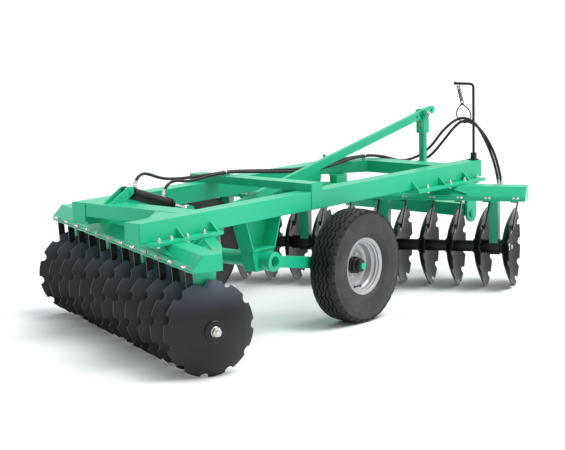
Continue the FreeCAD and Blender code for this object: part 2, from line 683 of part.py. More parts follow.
def build_rocker():
    low = -S.rail_deep - S.hanger_deep
    half_top = S.hanger_top / 2
    half_foot = S.hanger_foot / 2
    wall = S.hanger_wall
    middle = S.shaft_at
    shell = padded("hanger_shell", "XZ_Plane",
                   [(middle - half_top, -S.rail_deep), (middle + half_top, -S.rail_deep),
                    (middle + half_foot, low), (middle - half_foot, low)], S.rail_wide)
    room = padded("hanger_room", "XZ_Plane",
                  [(middle - half_top + wall, -S.rail_deep), (middle + half_top - wall, -S.rail_deep),
                   (middle + half_foot - wall, low + wall), (middle - half_foot + wall, low + wall)],
                  S.rail_wide)
    hangers = []
    for name, inner_face, outwards in (("near", 0, -1), ("far", S.frame_wide - S.rail_wide, 1)):
        outer = copy(name + "_hanger_shell", shell, 0, S.rail_wide + inner_face, 0)
        web_shift = -wall if outwards < 0 else wall
        hollow = copy(name + "_hanger_room", room, 0, S.rail_wide + inner_face + web_shift, 0)
        hangers.append(cut(name + "_hanger", outer, hollow))
    node("axle_hangers", hangers, FRAME)

    bore = S.shaft_round + S.run_slack
    blocks = []
    block_low = -S.shaft_down - S.block_high / 2
    block_top = low
    for name, face in (("near", 0), ("far", S.frame_wide - S.rail_wide)):
        body = padded(name + "_bearing", "XZ_Plane",
                      [(middle - half_foot, block_top), (middle + half_foot, block_top),
                       (middle + half_foot * 0.7, block_low), (middle - half_foot * 0.7, block_low)],
                      S.block_wide, holes=[(middle, -S.shaft_down, bore)])
        put(body, 0, face + (S.rail_wide + S.block_wide) / 2, 0)
        blocks.append(body)
    node("shaft_bearings", blocks, FRAME)

    near_end = -S.shaft_past
    long = S.frame_wide + S.shaft_past * 2
    solid = rod("shaft_bar", S.shaft_round, long, middle, near_end, -S.shaft_down)
    bore_tool = rod("shaft_hole", S.shaft_bore, long + 20, middle, near_end - 10, -S.shaft_down)
    node("rocker_shaft", [cut("shaft_tube", solid, bore_tool)], FRAME)

    # Arms run from the shaft to the wheels, whose axles stand a tyre's radius above the floor.
    hub_x = middle + S.wheel_ahead
    hub_z = S.tyre_round - S.rail_top
    drop = hub_z + S.shaft_down
    length = root(S.wheel_ahead * S.wheel_ahead + drop * drop)
    lean = arc_tangent(-drop, S.wheel_ahead)
    hub_seat = S.wheel_out + S.rim_wide / 2
    arms = []
    for name, inner_face, outwards in (("near", -S.arm_gap, -1), ("far", S.frame_wide + S.arm_gap, 1)):
        y_low = inner_face - S.arm_thick if outwards < 0 else inner_face
        bar = block(name + "_arm_bar", length, S.arm_thick, S.arm_high)
        put(bar, middle - S.arm_high / 2 * sine(lean), y_low, -S.shaft_down - S.arm_high / 2 * cosine(lean),
            Y_AXIS, lean)
        boss = rod(name + "_arm_boss", S.shaft_round + 15, S.arm_thick, middle, y_low, -S.shaft_down)
        tip = rod(name + "_arm_tip", S.arm_high / 2, S.arm_thick, hub_x, y_low, hub_z)
        stub_long = hub_seat - S.arm_gap - 20
        stub_low = inner_face - stub_long if outwards < 0 else inner_face
        stub = rod(name + "_stub", S.stub_round, stub_long, hub_x, stub_low, hub_z)
        whole = fuse(name + "_arm_whole", [bar, boss, tip, stub])
        hole_tool = rod(name + "_arm_hole", S.shaft_round, S.arm_thick + 20, middle, y_low - 10, -S.shaft_down)
        arms.append(cut(name + "_arm", whole, hole_tool))
    node("wheel_arms", arms, FRAME)

    node("rocker_levers", [
        pair("cylinder_lever", S.cylinder_y, S.eye_ahead, -S.eye_down, S.eye_thick),
        pair("link_lever", S.link_y, S.link_tail_ahead, -S.link_tail_down, S.link_thick),
    ], FRAME)


def pair(name, across, ahead, up, between):
    """Two lever plates on the rocker shaft with a pin through their ends."""
    x = S.shaft_at
    rise = term(up) + S.shaft_down
    run = term(ahead) - x
    reach = root(run * run + rise * rise)
    lean = arc_tangent(rise, run)
    root_round = S.shaft_round + 26
    tip_round = S.pin_round + 24
    gap = between + S.side_slack * 2
    plates = []
    for number, y in enumerate((across - gap / 2 - S.lug_thick, across + gap / 2)):
        # Built along X from the shaft and then leaned up to its pin.
        web = padded(f"{name}_web_{number}", "XZ_Plane",
                     [(0, -root_round), (reach, -tip_round), (reach, tip_round), (0, root_round)], S.lug_thick)
        put(web, x, y + S.lug_thick, -S.shaft_down, Y_AXIS, -lean)
        base = rod(f"{name}_base_{number}", root_round, S.lug_thick, x, y, -S.shaft_down)
        tip = rod(f"{name}_tip_{number}", tip_round, S.lug_thick, ahead, y, up)
        plates.append(cut(f"{name}_plate_{number}",
                          fuse(f"{name}_blank_{number}", [web, base, tip]),
                          rod(f"{name}_seat_{number}", S.shaft_round, S.lug_thick + 20, x, y - 10, -S.shaft_down)))
    pin_long = gap + S.lug_thick * 2 + 24
    pin = rod(name + "_pin", S.pin_round, pin_long, ahead, across - pin_long / 2, up)
    return fuse(name, plates + [pin])


# Wheels

def build_wheel(side, outwards, plane):
    """Tyre, rim and hub about Y, outwards along outwards times Y."""
    seat = (S.rear_x + S.shaft_at + S.wheel_ahead, S.side_y + plane, S.tyre_round)
    half = S.tyre_wide / 2
    rim_half = S.rim_wide / 2
    crown = S.tyre_round
    shoulder = crown - 22
    bulge = (crown + S.bead_round) / 2
    tread = half * 0.8
    bead = rim_half - S.rim_wall
    profile = [(S.bead_round, -bead), (S.flange_round, -bead), (bulge, -half), (shoulder, -tread - 4),
               (crown, -tread + 12), (crown, tread - 12), (shoulder, tread + 4), (bulge, half),
               (S.flange_round, bead), (S.bead_round, bead)]
    node(side + "_tyre", [turned(side + "_tyre_ring", profile)], seat)

    wall = S.rim_wall
    dish = S.dish_in * outwards
    low, high = (dish, dish + wall) if outwards > 0 else (dish - wall, dish)
    inner = S.bead_round - wall
    ring = turned(side + "_rim_ring",
                  [(inner, -rim_half), (S.flange_round, -rim_half), (S.flange_round, wall - rim_half),
                   (S.bead_round, wall - rim_half), (S.bead_round, rim_half - wall),
                   (S.flange_round, rim_half - wall), (S.flange_round, rim_half), (inner, rim_half)])
    web = turned(side + "_rim_web", [(S.hub_round, low), (inner + 1, low), (inner + 1, high), (S.hub_round, high)])
    node(side + "_rim", [fuse(side + "_rim_whole", [ring, web])], seat)

    # The hub runs on the stub axle, its flange bolted to the inside of the wheel disc.
    bore = S.stub_round + S.run_slack
    hub_in = -S.wheel_out + S.arm_gap + S.arm_thick + 8
    hub_tip = rim_half - 2
    cap = hub_tip - 12
    points = [(bore, hub_in), (S.hub_round, hub_in), (S.hub_round, S.dish_in - 14),
              (S.hub_face, S.dish_in - 14), (S.hub_face, S.dish_in), (S.hub_round, S.dish_in),
              (S.hub_round, S.dish_in + 30), (S.hub_round - 18, cap), (S.hub_round - 22, hub_tip),
              (0, hub_tip), (0, cap), (bore, cap)]
    hub = turned(side + "_hub_core", [(x, y * outwards) for x, y in map(both, points)])
    node(side + "_hub", [hub], seat)


# Cylinder

def build_cylinder():
    rise = -S.eye_down - S.tail_up
    run = S.eye_ahead - S.tail_ahead
    lean = arc_tangent(-rise, run)
    reach = root(run * run + rise * rise)
    place = (S.rear_x + S.tail_ahead, S.side_y + S.cylinder_y, S.rail_top + S.tail_up, Y_AXIS, lean)
    # Built along X from the rear pin.
    tail = rod("barrel_tail", S.barrel_round - 8, S.eye_thick, 0, -S.eye_thick / 2, 0)
    tube = rod("barrel_tube", S.barrel_round, S.barrel_long - 110, 50, 0, 0, Y_AXIS, 90)
    gland = rod("barrel_gland", S.gland_round, 60, S.barrel_long - 60, 0, 0, Y_AXIS, 90)
    neck = block("barrel_neck", 60, S.eye_thick, S.barrel_round, 0, -S.eye_thick / 2, -S.barrel_round / 2)
    solid = fuse("barrel_solid", [tail, neck, tube, gland])
    bore = rod("barrel_bore", S.rod_round + S.run_slack, S.barrel_long, S.barrel_long - S.rod_in - 180, 0, 0,
               Y_AXIS, 90)
    pin_hole = rod("barrel_pin_hole", S.pin_round + S.run_slack, 200, 0, -100, 0)
    node("cylinder_barrel", [cut("barrel_bored", cut("barrel_drilled", solid, bore), pin_hole)], place)

    start = S.barrel_long - S.rod_in
    stem = rod("rod_stem", S.rod_round, reach - S.barrel_long + S.rod_in - S.eye_round + 8, start, 0, 0, Y_AXIS, 90)
    eye = rod("rod_eye", S.eye_round, S.eye_thick, reach, -S.eye_thick / 2, 0)
    eye_hole = rod("rod_eye_hole", S.pin_round + S.drift_slack, 200, reach, -100, 0)
    node("cylinder_rod", [cut("rod_whole", fuse("rod_solid", [stem, eye]), eye_hole)], place)

    # Two leaning plates on the rear cross tube carry the rear pin.
    gap = S.eye_thick + S.side_slack * 2
    base = S.far_start + S.cross_wide - 15
    plates = []
    for number, y in enumerate((S.cylinder_y - gap / 2 - S.lug_thick, S.cylinder_y + gap / 2)):
        plate = padded(f"tail_plate_{number}", "XZ_Plane",
                       [(base - 150, 0), (base, 0), (S.tail_ahead + 38, S.tail_up - 12),
                        (S.tail_ahead + 34, S.tail_up + 34), (S.tail_ahead - 20, S.tail_up + 40)],
                       S.lug_thick)
        put(plate, 0, y + S.lug_thick, 0)
        plates.append(plate)
    pin_long = gap + S.lug_thick * 2 + 24
    pin = rod("tail_pin", S.pin_round, pin_long, S.tail_ahead, S.cylinder_y - pin_long / 2, S.tail_up)
    node("cylinder_bracket", [fuse("tail_whole", plates + [pin])], FRAME)


# Levelling link, hitch beam and mast

def build_link():
    rise = S.mast_pin_up + S.link_tail_down
    run = S.mast_pin_ahead - S.link_tail_ahead
    lean = arc_tangent(rise, run)
    reach = root(run * run + rise * rise)
    half = S.link_high / 2
    place = (S.rear_x + S.link_tail_ahead, S.side_y + S.link_y, S.rail_top - S.link_tail_down, Y_AXIS, -lean)
    bar = block("link_bar", reach + S.link_past - half, S.link_thick, S.link_high, 0, -S.link_thick / 2, -half)
    tail = rod("link_tail", half, S.link_thick, 0, -S.link_thick / 2, 0)
    nose = rod("link_nose", half, S.link_thick, reach + S.link_past - half, -S.link_thick / 2, 0)
    solid = fuse("link_solid", [bar, tail, nose])
    hole_long = S.link_thick + 40
    holes = [rod("link_tail_hole", S.pin_round + S.run_slack, hole_long, 0, -hole_long / 2, 0)]
    for number, ahead in enumerate((-110, -60, 110)):
        holes.append(rod(f"link_hole_{number}", S.pin_round, hole_long, reach + ahead, -hole_long / 2, 0))
    node("levelling_link", [cut("link_drilled", solid, fuse("link_holes", holes))], place)

    # The front pin rides in the link, and its washers hide the fork's wide holes.
    gap = S.link_thick + S.side_slack * 2
    pin_long = gap + S.lug_thick * 2 + 30
    pin = rod("front_pin_bar", S.pin_round, pin_long, reach, -pin_long / 2, 0)
    washer_round = S.pin_round + S.drift_slack * 2
    washer_at = gap / 2 + S.lug_thick + 5
    washers = [rod("front_washer_left", washer_round, 5, reach, washer_at, 0),
               rod("front_washer_right", washer_round, 5, reach, -washer_at - 5, 0)]
    clear = rod("front_pin_seat", S.link_high / 4, S.link_thick, reach, -S.link_thick / 2, 0)
    node("link_pin", [fuse("front_pin", [cut("front_pin_ends", pin, clear)] + washers)], place)


def build_hitch():
    half = S.hitch_deep / 2
    x = S.hitch_ahead
    z = -S.hitch_down
    near = S.rail_wide + S.bracket_thick + S.hitch_gap
    far = near + S.hitch_long
    journal_long = S.bracket_thick + S.hitch_gap + S.journal_past
    beam = block("hitch_bar", S.hitch_deep, S.hitch_long, S.hitch_deep, x - half, near, z - half)
    journal_near = rod("journal_near", S.journal_round, journal_long, x, near - journal_long, z)
    journal_far = rod("journal_far", S.journal_round, journal_long, x, far, z)
    middle = near + S.hitch_long / 2
    lugs = []
    for number, share in enumerate((-0.5, 0.5)):
        centre = middle + S.lug_apart * share
        for ear, side in (("right", -1), ("left", 1)):
            y = centre + S.lug_gap / 2 if side > 0 else centre - S.lug_gap / 2 - S.lug_thick
            lug = padded(f"lug_{number}_{ear}", "XZ_Plane",
                         [(x + half, z - 45), (x + half + S.lug_out, z - 32), (x + half + S.lug_out + 30, z),
                          (x + half + S.lug_out, z + 32), (x + half, z + 45)],
                         S.lug_thick, holes=[(x + half + S.lug_out, z, S.lug_bore)])
            put(lug, 0, y + S.lug_thick, 0)
            lugs.append(lug)
    node("hitch_beam", [fuse("hitch_whole", [beam, journal_near, journal_far] + lugs)], FRAME)

    foot = z + half
    pin_x = S.mast_pin_ahead
    pin_z = S.mast_pin_up
    fork_low = pin_z + 40 - S.fork_high
    tube = block("mast_tube", S.mast_wide, S.mast_wide, fork_low + 30 - foot, x - S.mast_wide / 2,
                 S.link_y - S.mast_wide / 2, foot)
    gap = S.link_thick + S.side_slack * 2
    plates = []
    for number, y in enumerate((S.link_y - gap / 2 - S.lug_thick, S.link_y + gap / 2)):
        plate = padded(f"fork_{number}", "XZ_Plane",
                       [(pin_x - S.fork_wide / 2, fork_low), (pin_x + S.fork_wide / 2, fork_low),
                        (pin_x + S.fork_wide / 2, pin_z + 40), (pin_x - S.fork_wide / 2, pin_z + 40)],
                       S.lug_thick, holes=[(pin_x, pin_z, S.pin_round + S.drift_slack)])
        put(plate, 0, y + S.lug_thick, 0)
        plates.append(plate)
    sill = block("fork_sill", S.fork_wide, gap, 40, pin_x - S.fork_wide / 2, S.link_y - gap / 2, fork_low)
    node("mast", [fuse("mast_whole", [tube, sill] + plates)], FRAME)

    # Plates down from the near rail's front end and from the front cross tube.
    thick = S.bracket_thick
    wrap = S.journal_round + 30
    near_plate = padded("near_bracket", "XZ_Plane",
                        [(x - wrap - 90, -20), (S.near_long, -20), (x + wrap, z), (x + wrap, z - wrap),
                         (x - wrap, z - wrap), (x - wrap, z)],
                        thick, holes=[(x, z, S.journal_round + S.run_slack)])
    put(near_plate, 0, S.rail_wide + thick, 0)
    front_face = S.front_at + S.cross_wide
    far_y = far + S.hitch_gap + thick
    far_plate = padded("far_bracket", "XZ_Plane",
                       [(front_face, -S.cross_deep), (front_face, 0), (x + wrap, z + wrap), (x + wrap, z - wrap),
                        (x - wrap, z - wrap)],
                       thick, holes=[(x, z, S.journal_round + S.run_slack)])
    put(far_plate, 0, far_y, 0)
    arm_from = S.frame_wide - S.corner_in - S.rail_wide
    arm = block("far_bracket_arm", 80, far_y - arm_from, 80, front_face, arm_from, -S.cross_deep)
    node("hitch_brackets", [near_plate, fuse("far_bracket_whole", [far_plate, arm])], FRAME)


# Hose stand

def build_stand():
    x = S.near_long - 20
    post = rod("stand_post", S.stand_round, S.stand_high, x, S.stand_y, 0, Z_AXIS, 0)
    knee = doc.addObject("Part::Sphere", "stand_knee")
    bind(knee, "Radius", S.stand_round)
    put(knee, x, S.stand_y, S.stand_high)
    arm = rod("stand_arm_bar", S.stand_round, S.stand_arm, x, S.stand_y, S.stand_high)
    foot = block("stand_foot", 34, 44, 60, x - 17, S.stand_y - 22, 0)
    node("hose_stand", [fuse("stand_whole", [post, knee, arm, foot])], FRAME)


build_frame()
build_gang("rear", REAR, 1)
build_gang("front", FRONT, -1)
build_mounts()
build_rocker()
build_wheel("right", -1, -S.wheel_out)
build_wheel("left", 1, S.frame_wide + S.wheel_out)
build_cylinder()
build_link()
build_hitch()
build_stand()
node("end_caps", CAPS)
doc.recompute()


# Check and write

faults = [thing.Name for thing in doc.Objects if "Invalid" in thing.State or "Error" in thing.State]
faults += [thing.Label for thing in NODES if thing.Shape.isNull() or not thing.Shape.isValid()]
if faults:
    raise SystemExit("failed: " + ", ".join(faults))

os.makedirs("parts", exist_ok=True)
whole = FreeCAD.BoundBox()
for thing in NODES:
    thing.Shape.exportStep(f"parts/{thing.Label}.step")
    whole.add(thing.Shape.BoundBox)
    print(f"{thing.Label:20s} {len(thing.Shape.Solids):3d} solids {thing.Shape.Volume / 1e9:9.5f} m3")
print("box", [round(value, 2) for value in (whole.XMin, whole.YMin, whole.ZMin, whole.XMax, whole.YMax, whole.ZMax)])
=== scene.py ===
import math
import random

import bmesh
import bpy
from mathutils import Matrix, Vector


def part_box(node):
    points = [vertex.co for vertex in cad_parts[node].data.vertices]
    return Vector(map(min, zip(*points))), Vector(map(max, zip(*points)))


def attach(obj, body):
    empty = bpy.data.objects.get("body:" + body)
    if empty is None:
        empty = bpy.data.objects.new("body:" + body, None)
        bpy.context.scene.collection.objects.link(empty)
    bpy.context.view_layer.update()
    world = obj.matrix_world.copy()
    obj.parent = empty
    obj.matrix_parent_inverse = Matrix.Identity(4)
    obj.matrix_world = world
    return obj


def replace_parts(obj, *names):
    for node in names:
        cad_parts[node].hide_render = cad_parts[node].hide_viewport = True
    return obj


# Metres. X runs forwards, Y to the left and Z up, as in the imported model.
# Frame places are counted from the near rail's rear end, outer face and top.
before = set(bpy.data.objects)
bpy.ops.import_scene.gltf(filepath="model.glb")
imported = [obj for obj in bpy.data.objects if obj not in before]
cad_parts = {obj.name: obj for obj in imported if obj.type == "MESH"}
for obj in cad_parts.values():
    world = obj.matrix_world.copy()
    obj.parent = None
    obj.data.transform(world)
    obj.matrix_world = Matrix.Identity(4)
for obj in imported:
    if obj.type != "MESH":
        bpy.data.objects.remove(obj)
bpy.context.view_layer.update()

RAIL_LOW, RAIL_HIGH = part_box("near_rail")
FRAME_AT = Vector((RAIL_LOW.x, RAIL_LOW.y, RAIL_HIGH.z))

# Camera, as it stood for the photograph: place from the near rail's corner, then degrees.
CAMERA_FROM_RAIL = Vector((-8.43467, -8.28919, 1.81800))
CAMERA_YAW = 39.807
CAMERA_PITCH = 8.892
CAMERA_ROLL = -1.204
CAMERA_LENS = 112.24

# Paint, steel and rubber, linear colours.
GREEN = (0.011, 0.510, 0.268)
GREEN_SHADE = (0.008, 0.430, 0.220)
DISC_BLACK = (0.005, 0.005, 0.007)
DISC_BROWN = (0.018, 0.016, 0.015)
# Blue-grey of a painted sky reflection, laid on the upper parts of the discs.
DISC_PAINTED_REFLECTION = (0.085, 0.108, 0.150)
PLAIN_BLACK = (0.007, 0.007, 0.008)
BLACK_WORN = (0.040, 0.038, 0.036)
RUBBER = (0.007, 0.007, 0.009)
RUBBER_GREY = (0.026, 0.026, 0.029)
SILVER = (0.50, 0.51, 0.52)
SILVER_SHADE = (0.34, 0.34, 0.34)
ZINC = (0.66, 0.66, 0.64)
ZINC_SHADE = (0.40, 0.39, 0.36)
CHROME = (0.82, 0.82, 0.82)


def spot(x, y, z):
    """A place counted from the near rail's rear end, outer face and top."""
    return FRAME_AT + Vector((x, y, z))


def place_camera():
    yaw, pitch, roll = (math.radians(turn) for turn in (CAMERA_YAW, CAMERA_PITCH, CAMERA_ROLL))
    ahead = Vector((math.cos(yaw) * math.cos(pitch), math.sin(yaw) * math.cos(pitch), -math.sin(pitch)))
    level = Vector((math.sin(yaw), -math.cos(yaw), 0))
    upright = level.cross(ahead)
    right = level * math.cos(roll) + upright * math.sin(roll)
    up = upright * math.cos(roll) - level * math.sin(roll)
    data = bpy.data.cameras.new("camera")
    data.lens = CAMERA_LENS
    data.sensor_width = 36
    data.clip_end = 200
    camera = bpy.data.objects.new("camera", data)
    turn = Matrix((right, up, -ahead)).transposed().to_4x4()
    camera.matrix_world = Matrix.Translation(FRAME_AT + CAMERA_FROM_RAIL) @ turn
    bpy.context.collection.objects.link(camera)
    bpy.context.scene.camera = camera


place_camera()


# Hydraulic hoses, in frame places: from the cylinder's fittings along the far rail,
# over the middle beam and the corner tube, round the mast and through the stand's ring.

HOSE_ROUND = 0.012
PRESSURE_ROUTE = (
    (0.844, 0.870, 0.095), (0.863, 0.870, 0.152), (0.932, 0.871, 0.188), (1.022, 0.877, 0.170),
    (1.120, 0.889, 0.134), (1.250, 0.905, 0.106),
    (1.440, 0.922, 0.090), (1.670, 0.938, 0.084), (1.925, 0.950, 0.080), (2.060, 0.958, 0.076),
    (2.279, 0.970, 0.055), (2.479, 0.980, 0.034), (2.690, 0.982, 0.014), (2.930, 0.976, -0.003),
    (3.160, 0.955, -0.006), (3.370, 0.930, 0.020), (3.560, 0.940, 0.030), (3.728, 0.930, 0.028),
    (3.830, 0.905, 0.026), (3.957, 0.850, 0.004), (4.060, 0.808, -0.036), (4.160, 0.790, -0.050),
    (4.275, 0.765, -0.038), (4.340, 0.700, 0.005), (4.342, 0.600, 0.095), (4.300, 0.494, 0.195),
    (4.256, 0.362, 0.290), (4.226, 0.262, 0.338), (4.214, 0.190, 0.352), (4.225, 0.110, 0.330),
    (4.281, 0.065, 0.245), (4.375, 0.030, 0.064), (4.432, 0.002, -0.110), (4.440, -0.015, -0.237),
)
RETURN_ROUTE = (
    (1.152, 0.870, -0.008), (1.174, 0.870, 0.054), (1.244, 0.871, 0.090), (1.335, 0.876, 0.088),
    (1.430, 0.884, 0.068), (1.560, 0.900, 0.066),
    (1.730, 0.912, 0.078), (1.925, 0.922, 0.080), (2.060, 0.930, 0.070), (2.279, 0.940, 0.046),
    (2.479, 0.948, 0.022), (2.690, 0.950, 0.000), (2.930, 0.945, -0.020), (3.160, 0.925, -0.020),
    (3.370, 0.900, 0.004), (3.560, 0.905, 0.028), (3.728, 0.902, 0.028), (3.830, 0.877, 0.026),
    (3.957, 0.822, -0.010), (4.050, 0.775, -0.052), (4.150, 0.752, -0.076), (4.270, 0.725, -0.072),
    (4.338, 0.668, -0.040), (4.340, 0.590, 0.020), (4.310, 0.464, 0.137), (4.275, 0.342, 0.250),
    (4.255, 0.255, 0.312), (4.245, 0.180, 0.324), (4.268, 0.085, 0.282), (4.345, 0.030, 0.156),
    (4.428, -0.018, -0.040), (4.456, -0.034, -0.226),
)


def hose(name, route):
    """A hose's smooth line, with the route's points as its control points."""
    data = bpy.data.curves.new(name, "CURVE")
    data.dimensions = "3D"
    # The points' radii carry the hose's size, so that its box is no wider than the hose.
    data.bevel_depth = 1.0
    data.bevel_resolution = 5
    data.resolution_u = 6
    spline = data.splines.new("NURBS")
    spline.points.add(len(route) - 1)
    for point, place in zip(spline.points, route):
        point.co = (*spot(*place), 1)
        point.radius = HOSE_ROUND
    spline.order_u = 3
    spline.use_endpoint_u = True
    tube = bpy.data.objects.new(name, data)
    bpy.context.collection.objects.link(tube)
    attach(tube, "frame")
    return tube


PRESSURE_HOSE = hose("pressure_hose", PRESSURE_ROUTE)
RETURN_HOSE = hose("return_hose", RETURN_ROUTE)


# Materials

def new_group(name, inputs, outputs):
    """A shader node group. inputs are (name, kind, default), outputs are (name, kind)."""
    group = bpy.data.node_groups.new(name, "ShaderNodeTree")
    for label, kind, value in inputs:
        socket = group.interface.new_socket(label, in_out="INPUT", socket_type="NodeSocket" + kind)
        socket.default_value = value
    for label, kind in outputs:
        group.interface.new_socket(label, in_out="OUTPUT", socket_type="NodeSocket" + kind)
    return group, group.nodes.new("NodeGroupInput"), group.nodes.new("NodeGroupOutput")


def node(tree, kind, **settings):
    """A node with its settings, or its sockets' values where the name is a socket's."""
    made = tree.nodes.new("ShaderNode" + kind)
    for key, value in settings.items():
        if hasattr(made, key):
            setattr(made, key, value)
        else:
            made.inputs[key.replace("_", " ")].default_value = value
    return made


def surface_group():
    """Two colours mixed by large soft noise, with fine grain in roughness and bump."""
    group, entry, leave = new_group("Surface", [
        ("Main", "Color", (1, 1, 1, 1)),
        ("Other", "Color", (0, 0, 0, 1)),
        ("Share", "Float", 0.3),
        ("Patch Scale", "Float", 4.0),
        ("Grain Scale", "Float", 300.0),
        ("Rough Low", "Float", 0.3),
        ("Rough High", "Float", 0.5),
        ("Bump", "Float", 0.1),
        ("Depth", "Float", 0.0004),
    ], [("Color", "Color"), ("Roughness", "Float"), ("Normal", "Vector")])
    link = group.links.new
    place = node(group, "TexCoord")
    patches = node(group, "TexNoise", Detail=6.0, Roughness=0.6)
    grain = node(group, "TexNoise", Detail=3.0, Roughness=0.5)
    link(place.outputs["Object"], patches.inputs["Vector"])
    link(place.outputs["Object"], grain.inputs["Vector"])
    link(entry.outputs["Patch Scale"], patches.inputs["Scale"])
    link(entry.outputs["Grain Scale"], grain.inputs["Scale"])
    ramp = node(group, "MapRange")
    ramp.inputs["From Min"].default_value = 0.40
    ramp.inputs["From Max"].default_value = 0.68
    link(patches.outputs["Fac"], ramp.inputs["Value"])
    link(entry.outputs["Share"], ramp.inputs["To Max"])
    mix = node(group, "Mix", data_type="RGBA")
    link(ramp.outputs["Result"], mix.inputs["Factor"])
    link(entry.outputs["Main"], mix.inputs["A"])
    link(entry.outputs["Other"], mix.inputs["B"])
    rough = node(group, "MapRange")
    link(patches.outputs["Fac"], rough.inputs["Value"])
    link(entry.outputs["Rough Low"], rough.inputs["To Min"])
    link(entry.outputs["Rough High"], rough.inputs["To Max"])
    bump = node(group, "Bump")
    link(grain.outputs["Fac"], bump.inputs["Height"])
    link(entry.outputs["Bump"], bump.inputs["Strength"])
    link(entry.outputs["Depth"], bump.inputs["Distance"])
    link(mix.outputs["Result"], leave.inputs["Color"])
    link(rough.outputs["Result"], leave.inputs["Roughness"])
    link(bump.outputs["Normal"], leave.inputs["Normal"])
    return group


SURFACE = surface_group()


def material(name, main, other, share, patch, grain, rough, bump, depth=0.0004, **shader_values):
    """A material whose colour, roughness and grain come from the surface group."""
    made = bpy.data.materials.new(name)
    made.use_nodes = True
    tree = made.node_tree
    shader = tree.nodes["Principled BSDF"]
    look = tree.nodes.new("ShaderNodeGroup")
    look.node_tree = SURFACE
    for label, value in (("Main", (*main, 1)), ("Other", (*other, 1)), ("Share", share),
                         ("Patch Scale", patch), ("Grain Scale", grain), ("Rough Low", rough[0]),
                         ("Rough High", rough[1]), ("Bump", bump), ("Depth", depth)):
        look.inputs[label].default_value = value
    for output, socket in (("Color", "Base Color"), ("Roughness", "Roughness"), ("Normal", "Normal")):
        tree.links.new(look.outputs[output], shader.inputs[socket])
    for key, value in shader_values.items():
        shader.inputs[key.replace("_", " ")].default_value = value
    return made


PAINT = material("green_paint", GREEN, GREEN_SHADE, 0.35, 2.2, 180, (0.30, 0.46), 0.10,
                 Specular_IOR_Level=0.35, Coat_Weight=0.12, Coat_Roughness=0.20)


def disc_steel_with_painted_reflection():
    """Rolled black steel in black and brown patches, with a painted sky reflection: bluer towards the top of a disc,
    browner below.
    """
    made = material("disc_steel", DISC_BLACK, DISC_BROWN, 0.55, 3.2, 240, (0.26, 0.46), 0.12,
                    Specular_IOR_Level=0.35, Metallic=0.0)
    tree = made.node_tree
    shader = tree.nodes["Principled BSDF"]
    look = next(part for part in tree.nodes if part.bl_idname == "ShaderNodeGroup")
    # Painted reflection: the colour turns blue-grey with height up the disc.
    place = node(tree, "TexCoord")
    split = node(tree, "SeparateXYZ")
    painted_reflection_mask = node(tree, "MapRange")
    painted_reflection_mask.inputs["From Min"].default_value = 0.42
    painted_reflection_mask.inputs["From Max"].default_value = 0.72
    painted_reflection_mask.inputs["To Max"].default_value = 0.85
    painted_reflection_mask.interpolation_type = "SMOOTHSTEP"
    mix = node(tree, "Mix", data_type="RGBA")
    mix.inputs["B"].default_value = (*DISC_PAINTED_REFLECTION, 1)
    tree.links.new(place.outputs["Object"], split.inputs["Vector"])
    tree.links.new(split.outputs["Z"], painted_reflection_mask.inputs["Value"])
    tree.links.new(painted_reflection_mask.outputs["Result"], mix.inputs["Factor"])
    tree.links.new(look.outputs["Color"], mix.inputs["A"])
    tree.links.new(mix.outputs["Result"], shader.inputs["Base Color"])
    return made


DISC = disc_steel_with_painted_reflection()
BLACK = material("black_paint", PLAIN_BLACK, BLACK_WORN, 0.20, 6, 240, (0.28, 0.48), 0.12,
                 Specular_IOR_Level=0.35)
EDGE = material("scraper_edge", (0.30, 0.29, 0.28), BLACK_WORN, 0.50, 18, 300, (0.30, 0.50), 0.10, Metallic=0.8)
SIDEWALL = material("tyre_sidewall", (0.026, 0.026, 0.028), (0.072, 0.070, 0.070), 0.55, 7, 420, (0.50, 0.66), 0.20,
                    Specular_IOR_Level=0.45)
TYRE = material("tyre_rubber", RUBBER, RUBBER_GREY, 0.55, 9, 420, (0.48, 0.68), 0.22,
                Specular_IOR_Level=0.35)
RIM = material("rim_silver", SILVER, SILVER_SHADE, 0.35, 9, 300, (0.30, 0.44), 0.06, Metallic=0.55)
ZINCED = material("zinc_plate", ZINC, ZINC_SHADE, 0.45, 20, 500, (0.20, 0.38), 0.06, Metallic=1.0)
ROD = material("rod_chrome", CHROME, (0.60, 0.60, 0.60), 0.15, 12, 600, (0.06, 0.14), 0.02, Metallic=1.0)
HOSE = material("hose_rubber", PLAIN_BLACK, (0.028, 0.028, 0.030), 0.30, 30, 700, (0.34, 0.50), 0.20)
FLOOR = material("floor", (0.97, 0.97, 0.97), (0.95, 0.95, 0.95), 0.10, 0.5, 40, (0.85, 0.95), 0.02)

BY_NODE = {
    "rear_discs": DISC, "front_discs": DISC,
    "rear_spools": BLACK, "front_spools": BLACK,
    "rear_bearings": BLACK, "front_bearings": BLACK,
    "rear_scrapers": BLACK, "front_scrapers": BLACK,
    "rear_axle": BLACK, "front_axle": BLACK,
    "right_tyre": TYRE, "left_tyre": TYRE,
    "right_rim": RIM, "left_rim": RIM,
    "right_hub": BLACK, "left_hub": BLACK,
    "cylinder_barrel": BLACK, "cylinder_rod": ROD,
    "hose_stand": BLACK,
}

for name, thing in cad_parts.items():
    for slot in thing.material_slots:
        slot.material = BY_NODE.get(name, PAINT)
for tube in (PRESSURE_HOSE, RETURN_HOSE):
    tube.data.materials.append(HOSE)


# Rolled edges on the welded frame's plates and tubes

FRAME_EDGE = 0.004
SOFTENED = ("near_rail", "far_rail", "near_cheek_plate", "rear_cross_tube", "front_cross_tube", "middle_beam",
            "rear_gang_beam", "front_gang_beam", "gang_mounts", "axle_hangers", "shaft_bearings",
            "hitch_brackets", "end_caps", "rear_legs", "front_legs", "mast", "hitch_beam")


